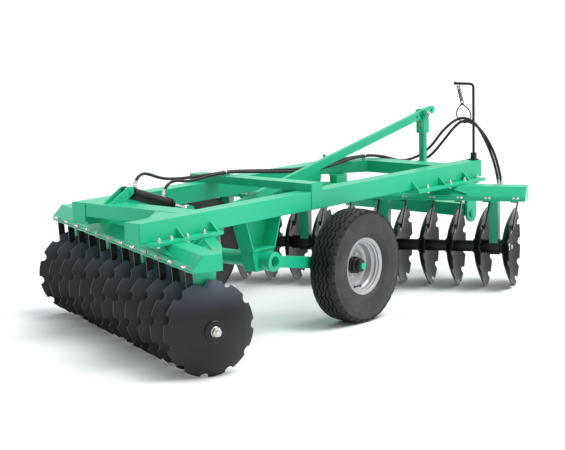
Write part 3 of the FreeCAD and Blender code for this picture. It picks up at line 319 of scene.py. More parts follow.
def soften(thing, width):
    """Rounds a node's outer edges as the light shows them, without touching its mesh."""
    weld = thing.modifiers.new("weld", "WELD")
    weld.merge_threshold = 0.0002
    bevel = thing.modifiers.new("bevel", "BEVEL")
    bevel.width = width
    bevel.segments = 2
    bevel.limit_method = "ANGLE"
    bevel.angle_limit = math.radians(30)
    normal = thing.modifiers.new("normal", "WEIGHTED_NORMAL")
    normal.keep_sharp = True


for name in SOFTENED:
    soften(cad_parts[name], FRAME_EDGE)


# Mesh helpers

def piece(name, mesh, finish, body):
    """A mesh as a piece of its own, in its finish, riding on a body."""
    thing = bpy.data.objects.new(name, mesh)
    bpy.context.collection.objects.link(thing)
    thing.data.materials.append(finish)
    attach(thing, body)
    return thing


def close(name, build, crease=35):
    """Turns a bmesh into a mesh, smooth except at edges sharper than crease degrees."""
    bmesh.ops.remove_doubles(build, verts=build.verts, dist=0.00005)
    bmesh.ops.recalc_face_normals(build, faces=build.faces)
    mesh = bpy.data.meshes.new(name)
    build.to_mesh(mesh)
    build.free()
    mesh.polygons.foreach_set("use_smooth", [True] * len(mesh.polygons))
    mesh.set_sharp_from_angle(angle=math.radians(crease))
    return mesh


def axes(along, up=(0, 0, 1)):
    """Three directions at right angles, the first along and the third near up, or near X where along is upright."""
    first = Vector(along).normalized()
    across = Vector(up).cross(first)
    if across.length < 0.01:
        across = Vector((1, 0, 0)).cross(first)
    second = across.normalized()
    return first, second, first.cross(second)


def turn(build, profile, centre, along, steps=24, up=(0, 0, 1)):
    """Turns a profile of (radius, run) points about a line through centre."""
    first, second, third = axes(along, up)
    rings = []
    for radius, run in profile:
        base = Vector(centre) + first * run
        if radius < 0.00001:
            rings.append([build.verts.new(base)])
            continue
        ring = []
        for step in range(steps):
            angle = math.tau * (step + 0.5) / steps
            ring.append(build.verts.new(base + (second * math.cos(angle) + third * math.sin(angle)) * radius))
        rings.append(ring)
    for low, high in zip(rings, rings[1:]):
        for step in range(steps):
            after = (step + 1) % steps
            corners = []
            for vert in (low[step % len(low)], low[after % len(low)], high[after % len(high)], high[step % len(high)]):
                if vert not in corners:
                    corners.append(vert)
            if len(corners) > 2:
                build.faces.new(corners)


def prism(build, outline, thick, origin, across, up, bevel=0.0):
    """A plate: an outline in (across, up) pushed by thick along the third direction."""
    across = Vector(across)
    up = Vector(up)
    out = across.cross(up).normalized()
    low = [build.verts.new(Vector(origin) + across * x + up * y) for x, y in outline]
    high = [build.verts.new(vert.co + out * thick) for vert in low]
    faces = [build.faces.new(low[::-1]), build.faces.new(high)]
    for step in range(len(outline)):
        after = (step + 1) % len(outline)
        faces.append(build.faces.new((low[step], low[after], high[after], high[step])))
    if bevel:
        edges = list({edge for face in faces for edge in face.edges})
        bmesh.ops.bevel(build, geom=edges, offset=bevel, segments=2, profile=0.6, affect="EDGES",
                        clamp_overlap=True)


def rounded(wide, high, corner, steps=5):
    """A rectangle about its middle with round corners."""
    points = []
    for start, (x, y) in enumerate(((1, 1), (-1, 1), (-1, -1), (1, -1))):
        centre = (x * (wide / 2 - corner), y * (high / 2 - corner))
        for step in range(steps + 1):
            angle = math.radians(90 * start + 90 * step / steps)
            points.append((centre[0] + corner * math.cos(angle), centre[1] + corner * math.sin(angle)))
    return points


def sweep(build, places, radius, steps=12):
    """A round bar along places, closed at both ends."""
    spots = [Vector(place) for place in places]
    rings = []
    guide = Vector((0.31, 0.17, 0.93))
    for index, here in enumerate(spots):
        before = spots[max(index - 1, 0)]
        after = spots[min(index + 1, len(spots) - 1)]
        first, second, third = axes(after - before, guide)
        rings.append([build.verts.new(here + (second * math.cos(math.tau * step / steps)
                                              + third * math.sin(math.tau * step / steps)) * radius)
                      for step in range(steps)])
    for low, high in zip(rings, rings[1:]):
        for step in range(steps):
            after = (step + 1) % steps
            build.faces.new((low[step], low[after], high[after], high[step]))
    build.faces.new(rings[0][::-1])
    build.faces.new(rings[-1])


# Bolts: a flat washer and a hexagon head with its corners turned off

BOLT = 0.012        # radius of a frame bolt's head over its corners


def hexagon(build, centre, along, size, high, turned=0.0):
    """A hexagon nut or head that stands on centre."""
    first, second, third = axes(along)
    rings = []
    for radius, run in ((0.94, 0.0), (1.0, 0.08), (1.0, 0.80), (0.86, 1.0)):
        rings.append([build.verts.new(Vector(centre) + first * high * run
                                      + (second * math.cos(math.tau * step / 6 + turned)
                                         + third * math.sin(math.tau * step / 6 + turned)) * size * radius)
                      for step in range(6)])
    for low, high_ring in zip(rings, rings[1:]):
        for step in range(6):
            after = (step + 1) % 6
            build.faces.new((low[step], low[after], high_ring[after], high_ring[step]))
    build.faces.new(rings[0][::-1])
    build.faces.new(rings[-1])


def bolt(build, centre, along, size=BOLT, stub=0.0):
    """A washer, a hexagon and, where stub is set, the thread's end beyond the nut."""
    along = Vector(along).normalized()
    turn(build, [(0, 0), (size * 1.30, 0), (size * 1.30, size * 0.16), (size * 1.2, size * 0.24), (0, size * 0.24)],
         centre, along, 18)
    hexagon(build, Vector(centre) + along * size * 0.24, along, size, size * 0.85, random.uniform(0, 1))
    if stub:
        turn(build, [(0, 0), (size * 0.52, 0), (size * 0.52, stub - size * 0.1), (size * 0.42, stub), (0, stub)],
             Vector(centre) + along * size * 1.05, along, 12)


random.seed(24)


# Wheels: tyres with five zigzag ribs, stepped rims, hubs

TYRE_ROUND = 0.435
BEAD_ROUND = 0.203
FLANGE_ROUND = 0.221
RIM_HALF = 0.090
WHEEL_DISC_IN = 0.034       # wheel disc, inwards of the wheel's middle plane
WAVES = 36
WAVE_STEPS = 8
WAVE = 0.011                # zigzag to each side
GROOVES = (-0.058, -0.020, 0.020, 0.058)
GROOVE_HALF = 0.0062
GROOVE_DEEP = 0.014
TREAD_HALF = 0.100
TREAD_FOOT = 0.399          # radius where the smooth sidewall begins
WHEEL_SHIFT = 0.010         # both wheels, to the left of their nodes


def wave(step):
    """The zigzag's place across the tyre, from straight runs."""
    share = (step % WAVE_STEPS) / WAVE_STEPS
    return WAVE * (1 - 4 * abs(share - 0.5))


def crown(across):
    """The tread's radius, a little lower at its shoulders."""
    return TYRE_ROUND - 0.007 * (across / TREAD_HALF) ** 2


def tyre_section(step):
    """The tyre's outline at one step round, as (across, radius) from bead to bead."""
    shift = wave(step)
    notch = 0.013 if step % WAVE_STEPS in (0, 1) else 0.0
    # The wall swells to its widest half-way and carries two fine rings.
    wall = [(0.078, BEAD_ROUND), (0.083, 0.212), (0.088, 0.224), (0.098, 0.232), (0.110, 0.250),
            (0.1165, 0.272), (0.1175, 0.275), (0.1172, 0.278), (0.120, 0.296), (0.122, 0.318),
            (0.1215, 0.342), (0.1205, 0.352), (0.1208, 0.356), (0.1180, 0.362), (0.1145, 0.384),
            (0.1125, 0.400), (0.1100 - notch, 0.412), (0.1080 - notch, 0.4220 - notch * 0.4),
            (0.1040 - notch * 0.6, 0.4262 - notch * 0.5)]
    section = [(-across, radius) for across, radius in wall]
    section.append((-TREAD_HALF, crown(TREAD_HALF)))
    for groove in GROOVES:
        centre = groove + shift
        for edge, deep in ((-GROOVE_HALF, 0), (-GROOVE_HALF * 0.75, GROOVE_DEEP),
                           (GROOVE_HALF * 0.75, GROOVE_DEEP), (GROOVE_HALF, 0)):
            section.append((centre + edge, crown(centre + edge) - deep))
    section.append((TREAD_HALF, crown(TREAD_HALF)))
    section += [(across, radius) for across, radius in reversed(wall)]
    return section


def tyre_mesh(middle):
    build = bmesh.new()
    steps = WAVES * WAVE_STEPS
    rings = []
    for step in range(steps):
        angle = math.tau * step / steps
        rings.append([build.verts.new(middle + Vector((radius * math.sin(angle), across, radius * math.cos(angle))))
                      for across, radius in tyre_section(step)])
    for ring, after in zip(rings, rings[1:] + rings[:1]):
        for index in range(len(ring)):
            beside = (index + 1) % len(ring)
            build.faces.new((ring[index], ring[beside], after[beside], after[index]))
    mesh = close("tyre", build, 28)
    for face in mesh.polygons:
        away = math.hypot(face.center.x - middle.x, face.center.z - middle.z)
        face.material_index = int(away < TREAD_FOOT)
    return mesh


def rim_mesh(middle, out):
    """A one-piece rim. out is -1 for the right wheel, whose outside looks right."""
    build = bmesh.new()
    seat = BEAD_ROUND - 0.002
    disc = -WHEEL_DISC_IN
    profile = [
        (FLANGE_ROUND - 0.004, RIM_HALF), (FLANGE_ROUND, RIM_HALF - 0.003), (FLANGE_ROUND - 0.001, RIM_HALF - 0.008),
        (seat + 0.004, RIM_HALF - 0.010), (seat, RIM_HALF - 0.018), (seat - 0.004, RIM_HALF - 0.040),
        (seat - 0.024, RIM_HALF - 0.052), (seat - 0.024, -RIM_HALF + 0.052), (seat - 0.004, -RIM_HALF + 0.040),
        (seat, -RIM_HALF + 0.018), (seat + 0.004, -RIM_HALF + 0.010), (FLANGE_ROUND, -RIM_HALF + 0.006),
        (FLANGE_ROUND, -RIM_HALF), (seat - 0.006, -RIM_HALF + 0.002), (seat - 0.012, -RIM_HALF + 0.030),
        (seat - 0.032, -RIM_HALF + 0.046), (seat - 0.032, disc - 0.008), (0.120, disc - 0.008),
        (0.112, disc - 0.003), (0.055, disc - 0.003), (0.055, disc + 0.004), (0.112, disc + 0.004),
        (0.121, disc - 0.001), (seat - 0.050, disc - 0.001), (seat - 0.036, disc + 0.010),
        (seat - 0.036, RIM_HALF - 0.066), (seat - 0.033, RIM_HALF - 0.060), (seat - 0.022, RIM_HALF - 0.054),
        (seat - 0.019, RIM_HALF - 0.049), (seat - 0.018, RIM_HALF - 0.030), (seat - 0.008, RIM_HALF - 0.024),
        (seat - 0.006, RIM_HALF - 0.012), (seat + 0.004, RIM_HALF - 0.004),
        (FLANGE_ROUND - 0.004, RIM_HALF),
    ]
    turn(build, profile, middle, (0, out, 0), 96)
    return close("rim", build, 40)


def hub_mesh(middle, out, inner):
    """A cast hub with its flange behind the wheel disc, five ribs and a ridged cap."""
    build = bmesh.new()
    disc = -WHEEL_DISC_IN
    profile = [
        (0.030, inner), (0.060, inner), (0.064, inner + 0.006), (0.064, disc - 0.030), (0.104, disc - 0.020),
        (0.106, disc - 0.006), (0.104, disc - 0.004), (0.054, disc - 0.004), (0.062, disc + 0.008),
        (0.066, disc + 0.012), (0.066, disc + 0.030), (0.061, disc + 0.036), (0.061, disc + 0.058),
        (0.055, disc + 0.064), (0.048, disc + 0.066), (0.048, disc + 0.090), (0.044, disc + 0.096),
        (0.030, disc + 0.099), (0, disc + 0.100),
    ]
    turn(build, profile, middle, (0, out, 0), 64)
    for step in range(10):
        angle = math.tau * step / 10
        side = Vector((math.sin(angle), 0, math.cos(angle)))
        across = Vector((math.cos(angle), 0, -math.sin(angle)))
        at = middle + side * 0.045 + Vector((0, out * (disc + 0.068), 0))
        prism(build, rounded(0.014, 0.009, 0.002, 2), 0.024, at, across if out > 0 else -across, side, 0)
    return close("hub", build, 35)


def wheel_bolts(middle, out):
    """Six bolts on the wheel disc."""
    build = bmesh.new()
    for step in range(6):
        angle = math.tau * (step + 0.35) / 6
        at = middle + Vector((math.sin(angle) * 0.088, out * (-WHEEL_DISC_IN + 0.004), math.cos(angle) * 0.088))
        bolt(build, at, (0, out, 0), 0.013, 0.010)
    return close("wheel_bolts", build)


def valve(middle, out):
    """A bent valve stem with its cap, out of the rim's well."""
    build = bmesh.new()
    angle = math.radians(200)
    side = Vector((math.sin(angle), 0, math.cos(angle)))
    outward = Vector((0, out, 0))
    foot = middle + side * 0.170 + outward * 0.030
    sweep(build, [foot, foot + outward * 0.014 - side * 0.004, foot + outward * 0.030 - side * 0.012,
                  foot + outward * 0.048 - side * 0.016], 0.0042)
    turn(build, [(0, 0), (0.0062, 0), (0.0068, 0.004), (0.0068, 0.015), (0.004, 0.019), (0, 0.019)],
         foot + outward * 0.046 - side * 0.0155, outward, 14)
    turn(build, [(0, 0), (0.012, 0), (0.012, 0.003), (0.008, 0.006), (0, 0.006)], foot - outward * 0.002, outward, 20)
    return close("valve", build)


def dress_wheel(side, out):
    low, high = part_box(side + "_tyre")
    middle = (low + high) / 2 + Vector((0, WHEEL_SHIFT, 0))
    hub_low, hub_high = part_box(side + "_hub")
    inner = (hub_high.y - middle.y if out < 0 else hub_low.y - middle.y) * out
    body = side + "_wheel"
    tyre = piece(side + "_road_tyre", tyre_mesh(middle), TYRE, body)
    tyre.data.materials.append(SIDEWALL)
    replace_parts(tyre, side + "_tyre")
    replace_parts(piece(side + "_stepped_rim", rim_mesh(middle, out), RIM, body), side + "_rim")
    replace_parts(piece(side + "_cast_hub", hub_mesh(middle, out, inner), BLACK, body), side + "_hub")
    piece(side + "_wheel_bolts", wheel_bolts(middle, out), ZINCED, body)
    piece(side + "_valve", valve(middle, out), BLACK, body)


dress_wheel("right", -1)
dress_wheel("left", 1)


# Gangs

GANG_TURN = math.radians(24.2)
DISC_PITCH = 0.234
DISC_COUNT = 12
DISC_THICK = 0.006
DISH_DEEP = 0.095
AXLE_DOWN = 0.684
BEAM_LOW = 0.404            # underside of a gang beam above the axle
BEAM_REAR = -0.144          # foot of its leaning face, ahead of the axle
BEAM_TOP_REAR = -0.070
BEAM_HIGH = 0.115
BEAM_START = -0.100
BEAM_LONG = 2.820


class Gang:
    """One gang's place: its right-hand disc on the axle, and which way its discs are hollow."""

    def __init__(self, side, ahead, across, hollow):
        self.side = side
        self.seat = spot(ahead, across, -AXLE_DOWN)
        self.hollow = hollow
        self.out = Vector((math.cos(GANG_TURN), -hollow * math.sin(GANG_TURN), 0))
        self.along = Vector((hollow * math.sin(GANG_TURN), math.cos(GANG_TURN), 0))

    def at(self, ahead, along, up):
        return self.seat + self.out * ahead + self.along * along + Vector((0, 0, up))


REAR = Gang("rear", 0.121, -0.496, 1)
FRONT = Gang("front", 3.979, -0.471, -1)
UP = Vector((0, 0, 1))


def dress_axle(gang):
    """The bar through the discs, with a dark plate, a bright washer and a bright nut at each end."""
    face = -DISH_DEEP if gang.hollow > 0 else DISH_DEEP + DISC_THICK
    right = face - DISC_THICK
    left = DISC_PITCH * (DISC_COUNT - 1) + face
    dark = bmesh.new()
    bright = bmesh.new()
    turn(dark, [(0, right), (0.0225, right), (0.0225, left), (0, left)], gang.at(0, 0, 0), gang.along, 24)
    for start, way in ((right, -1), (left, 1)):
        out = gang.along * way
        at = gang.at(0, start, 0)
        turn(dark, [(0, 0), (0.074, 0), (0.074, 0.010), (0.070, 0.014), (0.046, 0.016), (0, 0.016)], at, out, 48)
        turn(bright, [(0, 0.0155), (0.036, 0.0155), (0.036, 0.020), (0.034, 0.022), (0, 0.022)], at, out, 32)
        hexagon(bright, at + out * 0.022, out, 0.034, 0.032)
        turn(bright, [(0, 0.050), (0.0185, 0.050), (0.0185, 0.070), (0.0160, 0.074), (0, 0.074)], at, out, 24)
    bar = piece(gang.side + "_axle_bar", close("axle", dark), BLACK, gang.side + "_gang")
    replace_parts(bar, gang.side + "_axle")
    piece(gang.side + "_axle_nuts", close("nuts", bright, 30), ZINCED, gang.side + "_gang")


STRIP_HIGH = 0.045
BEARING_GAPS = (0, 4, 7, 10)


def dress_beam(gang):
    """The upright strip at the leaning face's foot, with a pair of bolts over each scraper."""
    build = bmesh.new()
    prism(build, [(0, 0), (BEAM_LONG, 0), (BEAM_LONG, 0.008), (0, 0.008)], 0.010,
          gang.at(BEAM_REAR - 0.009, BEAM_START, BEAM_LOW), gang.along, UP, 0.001)
    prism(build, [(0, 0), (BEAM_LONG, 0), (BEAM_LONG, 0.006), (0, 0.006)], 0.008,
          gang.at(BEAM_REAR - 0.007, BEAM_START, BEAM_LOW + STRIP_HIGH - 0.006), gang.along, UP, 0.001)
    piece(gang.side + "_beam_strip", close("strip", build), PAINT, "frame")
    bolts = bmesh.new()
    for number in range(DISC_COUNT):
        for apart in (-0.016, 0.016):
            at = gang.at(BEAM_REAR, DISC_PITCH * number + 0.028 * gang.hollow + apart, BEAM_LOW + 0.026)
            bolt(bolts, at, -gang.out, 0.0135 if gang.hollow > 0 else 0.0090, 0.010)
    piece(gang.side + "_beam_bolts", close("bolts", bolts), ZINCED, "frame")


def leaning(gang, along, down):
    """A place on the beam's leaning face and the face's own directions."""
    slope = Vector((0, 0, BEAM_LOW + STRIP_HIGH)) + gang.out * BEAM_REAR
    top = Vector((0, 0, BEAM_LOW + BEAM_HIGH)) + gang.out * BEAM_TOP_REAR
    fall = (slope - top).normalized()
    return gang.at(0, along, 0) + top + fall * down, fall


def clamp_plate(gang, points):
    """A gusset that stands against the leaning face, as (along, down the slope)."""
    corners = []
    for along, down in points:
        place, fall = leaning(gang, along, down)
        corners.append(place)
    out = gang.along.cross(fall).normalized()
    if out.dot(gang.out) > 0:
        out.negate()
    build = bmesh.new()
    low = [build.verts.new(corner) for corner in corners]
    high = [build.verts.new(corner + out * 0.012) for corner in corners]
    build.faces.new(low[::-1])
    build.faces.new(high)
    for step in range(len(low)):
        after = (step + 1) % len(low)
        build.faces.new((low[step], low[after], high[after], high[step]))
    bmesh.ops.bevel(build, geom=build.edges[:], offset=0.002, segments=2, affect="EDGES")
    return close("clamp", build)


def dress_scrapers(gang):
    """Bright worn edges on the scraper blades and a bolt head on each."""
    build = bmesh.new()
    heads = bmesh.new()
    low = BEAM_LOW
    lean = (0.045 - 0.005) / (0.240 - 0.010) * 0.040
    for number in range(DISC_COUNT):
        along = DISC_PITCH * number
        foot = gang.at(BEAM_REAR - 0.025, along + gang.hollow * (-0.005 - 0.008 - lean), low - 0.240 - 0.040)
        prism(build, [(0, 0), (0.100, 0), (0.100, 0.004), (0, 0.004)], 0.008,
              foot + gang.along * (0.008 if gang.hollow < 0 else 0.0), gang.out, UP, 0.0)
        bolt(heads, gang.at(BEAM_REAR + 0.025, along - gang.hollow * 0.016, low - 0.215),
             -gang.along * gang.hollow, 0.010)
    piece(gang.side + "_blade_edges", close("edges", build), EDGE, "frame")
    piece(gang.side + "_blade_bolts", close("heads", heads), BLACK, "frame")


def dress_bearings(gang):
    """Ribbed sleeves that lengthen each gang bearing into its disc's hollow."""
    build = bmesh.new()
    profile = [(0.0500, 0), (0.062, 0), (0.062, 0.014), (0.056, 0.016), (0.056, 0.026), (0.062, 0.028),
               (0.062, 0.040), (0.056, 0.042), (0.056, 0.052), (0.062, 0.054), (0.062, 0.067), (0.0500, 0.067)]
    for number in BEARING_GAPS:
        rim = DISC_PITCH * (number if gang.hollow > 0 else number + 1)
        turn(build, profile + profile[:1], gang.at(0, rim - 0.047 * gang.hollow, 0), gang.along * gang.hollow, 40)
    piece(gang.side + "_bearing_sleeves", close("sleeves", build), BLACK, "frame")


for gang in (REAR, FRONT):
    dress_axle(gang)
    dress_beam(gang)
    dress_scrapers(gang)
    dress_bearings(gang)
piece("rear_clamp", clamp_plate(REAR, ((0.825, 0.080), (0.482, 0.043), (0.220, 0.093))), PAINT, "frame")
piece("front_clamp", clamp_plate(FRONT, ((0.572, 0.027), (0.531, 0.015), (0.430, 0.013), (0.370, 0.095))),
      PAINT, "frame")


# Frame fastenings: the mounting plates under the rails and the bolts through them

MOUNT_TOP = -0.140
PLATE_THICK = 0.025
PLATE_OUT = 0.085
RAIL_WIDE = 0.140
FRAME_WIDE = 1.200
RIB_HIGH = 0.070
RIB_THICK = 0.012
# Each plate's start, length and the shares of it where its ribs stand, near side then far side.
NEAR_MOUNTS = ((0.050, 0.710, (0.45, 0.94)), (3.150, 0.980, (0.02, 0.41, 0.77)))
FAR_MOUNTS = ((0.535, 0.550, (0.25, 0.75)), (2.601, 0.710, (0.25, 0.75)))
PLATE_BOLTS = ((0.139, -0.044), (0.265, -0.040), (0.416, -0.048), (0.600, -0.044),
               (3.330, -0.044), (3.660, -0.040), (3.870, -0.044), (4.060, -0.044))


def mount_plates():
    """Plates under both rails with triangular ribs against the rails' outer faces."""
    build = bmesh.new()
    for mounts, face, way in ((NEAR_MOUNTS, -0.006, -1), (FAR_MOUNTS, FRAME_WIDE, 1)):
        for start, long, shares in mounts:
            outer = face + way * (PLATE_OUT - 0.006)
            inner = face - way * RAIL_WIDE
            wide = abs(outer - inner)
            prism(build, [(0, 0), (long, 0), (long, wide), (0, wide)], PLATE_THICK,
                  spot(start, min(outer, inner), MOUNT_TOP - PLATE_THICK), (1, 0, 0), (0, 1, 0), 0.002)
            for share in shares:
                prism(build, [(0, 0), (PLATE_OUT - 0.010, 0), (0, RIB_HIGH)], RIB_THICK,
                      spot(start + long * share, face, MOUNT_TOP), (0, way, 0), UP, 0.001)
    return close("mounts", build)


def plate_bolts():
    build = bmesh.new()
    for ahead, across in PLATE_BOLTS:
        bolt(build, spot(ahead, across, MOUNT_TOP), UP, 0.016, 0.012)
        bolt(build, spot(ahead, across, MOUNT_TOP - PLATE_THICK), -UP, 0.016)
    for start, long, shares in FAR_MOUNTS:
        for share in (0.1, 0.5, 0.9):
            bolt(build, spot(start + long * share, FRAME_WIDE + 0.042, MOUNT_TOP), UP, 0.016, 0.012)
    return close("plate_bolts", build)


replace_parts(piece("gang_mount_plates", mount_plates(), PAINT, "frame"), "gang_mounts")
piece("mount_bolts", plate_bolts(), ZINCED, "frame")


# Plates that stiffen the frame's corners

def flat_plate(name, outline, low, thick):
    """A level plate with its outline in frame places."""
    build = bmesh.new()
    prism(build, outline, thick, spot(0, 0, low), (1, 0, 0), (0, 1, 0), 0.002)
    return piece(name, close(name, build), PAINT, "frame")


flat_plate("rear_corner_plate", ((0.100, 0.139), (0.242, 0.150), (0.545, 0.357), (0.545, 0.139)), -0.014, 0.012)
BRACE = [REAR.at(ahead, along, 0) - spot(0, 0, -AXLE_DOWN)
         for ahead, along in ((0.070, 0.055), (0.070, -0.090), (0.209, 0.216), (0.330, 0.643), (0.218, 0.561))]
flat_plate("rear_brace_plate", [(corner.x, corner.y) for corner in BRACE], -0.179, 0.012)


def corner_post():
    """The short post under the corner tube with its base plate."""
    build = bmesh.new()
    prism(build, rounded(0.150, 0.080, 0.008), 0.066, spot(3.415, 0.950, -0.166), (1, 0, 0), (0, 1, 0), 0.002)
    prism(build, rounded(0.190, 0.110, 0.006), 0.010, spot(3.415, 0.950, -0.176), (1, 0, 0), (0, 1, 0), 0.001)
    return close("post", build)


piece("corner_tube_post", corner_post(), PAINT, "frame")


def round_foot():
    """The near bracket's rounded foot below the hitch beam's journal."""
    build = bmesh.new()
    arc = [(0.075 * math.cos(math.radians(angle)), 0.075 * math.sin(math.radians(angle)))
           for angle in range(180, 361, 15)]
    prism(build, [(-0.075, 0.330)] + arc + [(0.075, 0.330)], 0.018, spot(4.225, 0.139, -0.478), (1, 0, 0), UP, 0.002)
    turn(build, [(0, 0), (0.034, 0), (0.034, 0.010), (0.028, 0.014), (0, 0.014)], spot(4.225, 0.121, -0.478),
         (0, -1, 0), 28)
    return close("foot", build)


piece("near_bracket_foot", round_foot(), PAINT, "frame")


def shaft_tube():
    """The rocker shaft, open at both ends."""
    low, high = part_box("rocker_shaft")
    middle = (low + high) / 2
    half = (high.y - low.y) / 2
    build = bmesh.new()
    turn(build, [(0.057, -half), (0.057, half), (0.055, half + 0.001), (0.043, half + 0.001), (0.042, half - 0.001),
                 (0.042, -half + 0.001), (0.043, -half - 0.001), (0.055, -half - 0.001), (0.057, -half)],
         middle, (0, 1, 0), 56)
    for side in (-1, 1):
        turn(build, [(0.057, 0), (0.071, 0.001), (0.073, 0.004), (0.073, 0.012), (0.070, 0.014), (0.057, 0.014),
                     (0.057, 0)], middle + Vector((0, side * (half - 0.015), 0)), (0, side, 0), 48)
    return close("shaft", build)


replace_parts(piece("rocker_tube", shaft_tube(), PAINT, "rocker"), "rocker_shaft")


# Stand for the hoses: its ring, chain, and the clips on the frame

def ring(build, centre, along, radius, thick, steps=28, round_steps=8):
    """A closed round ring about a line."""
    first, second, third = axes(along)
    loops = []
    for step in range(steps):
        angle = math.tau * step / steps
        out = second * math.cos(angle) + third * math.sin(angle)
        middle = Vector(centre) + out * radius
        loops.append([build.verts.new(middle + (out * math.cos(math.tau * part / round_steps)
                                                + first * math.sin(math.tau * part / round_steps)) * thick)
                      for part in range(round_steps)])
    for low, high in zip(loops, loops[1:] + loops[:1]):
        for part in range(round_steps):
            after = (part + 1) % round_steps
            build.faces.new((low[part], low[after], high[after], high[part]))


def chain(build, start, end, count, size=0.011, thick=0.0024):
    """Links in turn flat and upright between two places."""
    start, end = Vector(start), Vector(end)
    step = (end - start) / count
    for number in range(count):
        centre = start + step * (number + 0.5)
        side = Vector((1, 0, 0)) if number % 2 else Vector((0, 1, 0))
        ring(build, centre, step.cross(side), size, thick, 16, 6)


STAND_AHEAD = 4.168
STAND_ACROSS = 0.062
STAND_TOP = 0.650
STAND_BEND = 0.030
STAND_ROUND = 0.0115
ARM_END = 0.246
HOOK_IN = 0.030
KNOT = (4.210, 0.205, 0.468)
# A wire sling from the knot round both hoses.
SLING = ((4.210, 0.205, 0.470), (4.206, 0.245, 0.436), (4.200, 0.260, 0.392), (4.194, 0.246, 0.350),
         (4.208, 0.216, 0.318), (4.240, 0.188, 0.302), (4.264, 0.160, 0.326), (4.262, 0.146, 0.372),
         (4.240, 0.162, 0.430), (4.210, 0.205, 0.470))


def eased(points, rounds=2):
    """A line with its corners cut off twice, its ends kept."""
    for _ in range(rounds):
        cut = [points[0]]
        for here, after in zip(points, points[1:]):
            cut += [here.lerp(after, 0.25), here.lerp(after, 0.75)]
        points = cut + [points[-1]]
    return points


def stand_mesh():
    build = bmesh.new()
    bend = [spot(STAND_AHEAD, STAND_ACROSS + STAND_BEND * (1 - math.cos(math.radians(angle))),
                 STAND_TOP - STAND_BEND * (1 - math.sin(math.radians(angle)))) for angle in range(0, 91, 15)]
    sweep(build, [spot(STAND_AHEAD, STAND_ACROSS, 0.002)] + bend + [spot(STAND_AHEAD, ARM_END, STAND_TOP)],
          STAND_ROUND, 20)
    prism(build, rounded(0.038, 0.044, 0.006), 0.062, spot(STAND_AHEAD, STAND_ACROSS, 0.0), (1, 0, 0), (0, 1, 0), 0.001)
    prism(build, rounded(0.070, 0.080, 0.010), 0.008, spot(STAND_AHEAD - 0.006, STAND_ACROSS, 0.0),
          (1, 0, 0), (0, 1, 0), 0.001)
    turn(build, [(0, 0), (0.015, 0), (0.016, 0.002), (0.016, 0.006), (0, 0.007)],
         spot(STAND_AHEAD, ARM_END, STAND_TOP), (0, 1, 0), 20)
    return close("stand", build, 50)


def sling_mesh():
    build = bmesh.new()
    hook = spot(STAND_AHEAD, ARM_END - HOOK_IN, STAND_TOP - STAND_ROUND - 0.006)
    ring(build, hook, (0.2, 1, 0), 0.016, 0.0042)
    knot = spot(*KNOT)
    chain(build, hook - UP * 0.016, knot + UP * 0.014, 7, 0.0165, 0.0042)
    ring(build, knot, (0.4, 0.2, 1), 0.009, 0.0065, 20, 10)
    sweep(build, eased([spot(*place) for place in SLING]), 0.0055)
    return close("sling", build, 50)


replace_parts(piece("bent_hose_stand", stand_mesh(), BLACK, "frame"), "hose_stand")
piece("chain_and_sling", sling_mesh(), BLACK, "frame")


def hose_fittings():
    """Steel ferrules at the hoses' ends, their couplers, and the clips that hold both to the frame."""
    steel = bmesh.new()
    ends = bmesh.new()
    for route in (PRESSURE_ROUTE, RETURN_ROUTE):
        end = spot(*route[-1])
        turn(ends, [(0, 0.045), (0.0125, 0.045), (0.0135, 0.040), (0.0135, 0.004), (0.0155, 0), (0.0155, -0.034),
                     (0.0125, -0.037), (0.0125, -0.052), (0.0145, -0.055), (0.0145, -0.074), (0.010, -0.080),
                     (0, -0.080)], end, UP, 20)
        hexagon(ends, end + UP * 0.004, UP, 0.0165, 0.016)
    for ahead, floor in ((1.925, 0.060), (3.728, 0.0)):
        spots = [[point for point in route if point[0] == ahead][0] for route in (PRESSURE_ROUTE, RETURN_ROUTE)]
        middle = spot(ahead, (spots[0][1] + spots[1][1]) / 2, floor)
        up = (spots[0][2] + spots[1][2]) / 2 - floor
        for side in (-0.014, 0.014):
            ring(steel, middle + Vector((0, side, up)), (1, 0, 0), HOSE_ROUND + 0.0015, 0.0035)
        prism(steel, rounded(0.020, up + 0.004, 0.004), 0.012, middle + Vector((-0.006, 0, up / 2)),
              (0, 1, 0), UP, 0.001)
        bolt(steel, middle + UP * (up + 0.010), UP, 0.009, 0.004)
    return close("couplers", ends), close("clips", steel)


COUPLER_MESH, CLIP_MESH = hose_fittings()
COUPLERS = piece("hose_couplers", COUPLER_MESH, ZINCED, "frame")
piece("hose_clips", CLIP_MESH, ZINCED, "frame")


# Cylinder: fittings, gland bands and pin ends

TAIL = (0.762, 0.070)
EYE = (1.420, -0.150)
CYLINDER_ACROSS = 0.870


def cylinder_place(run, up, across=0.0):
    """A place along the cylinder from its rear pin, up from its axis, and across."""
    length = math.hypot(EYE[0] - TAIL[0], EYE[1] - TAIL[1])
    ahead, rise = (EYE[0] - TAIL[0]) / length, (EYE[1] - TAIL[1]) / length
    return spot(TAIL[0] + ahead * run - rise * up, CYLINDER_ACROSS + across, TAIL[1] + rise * run + ahead * up)


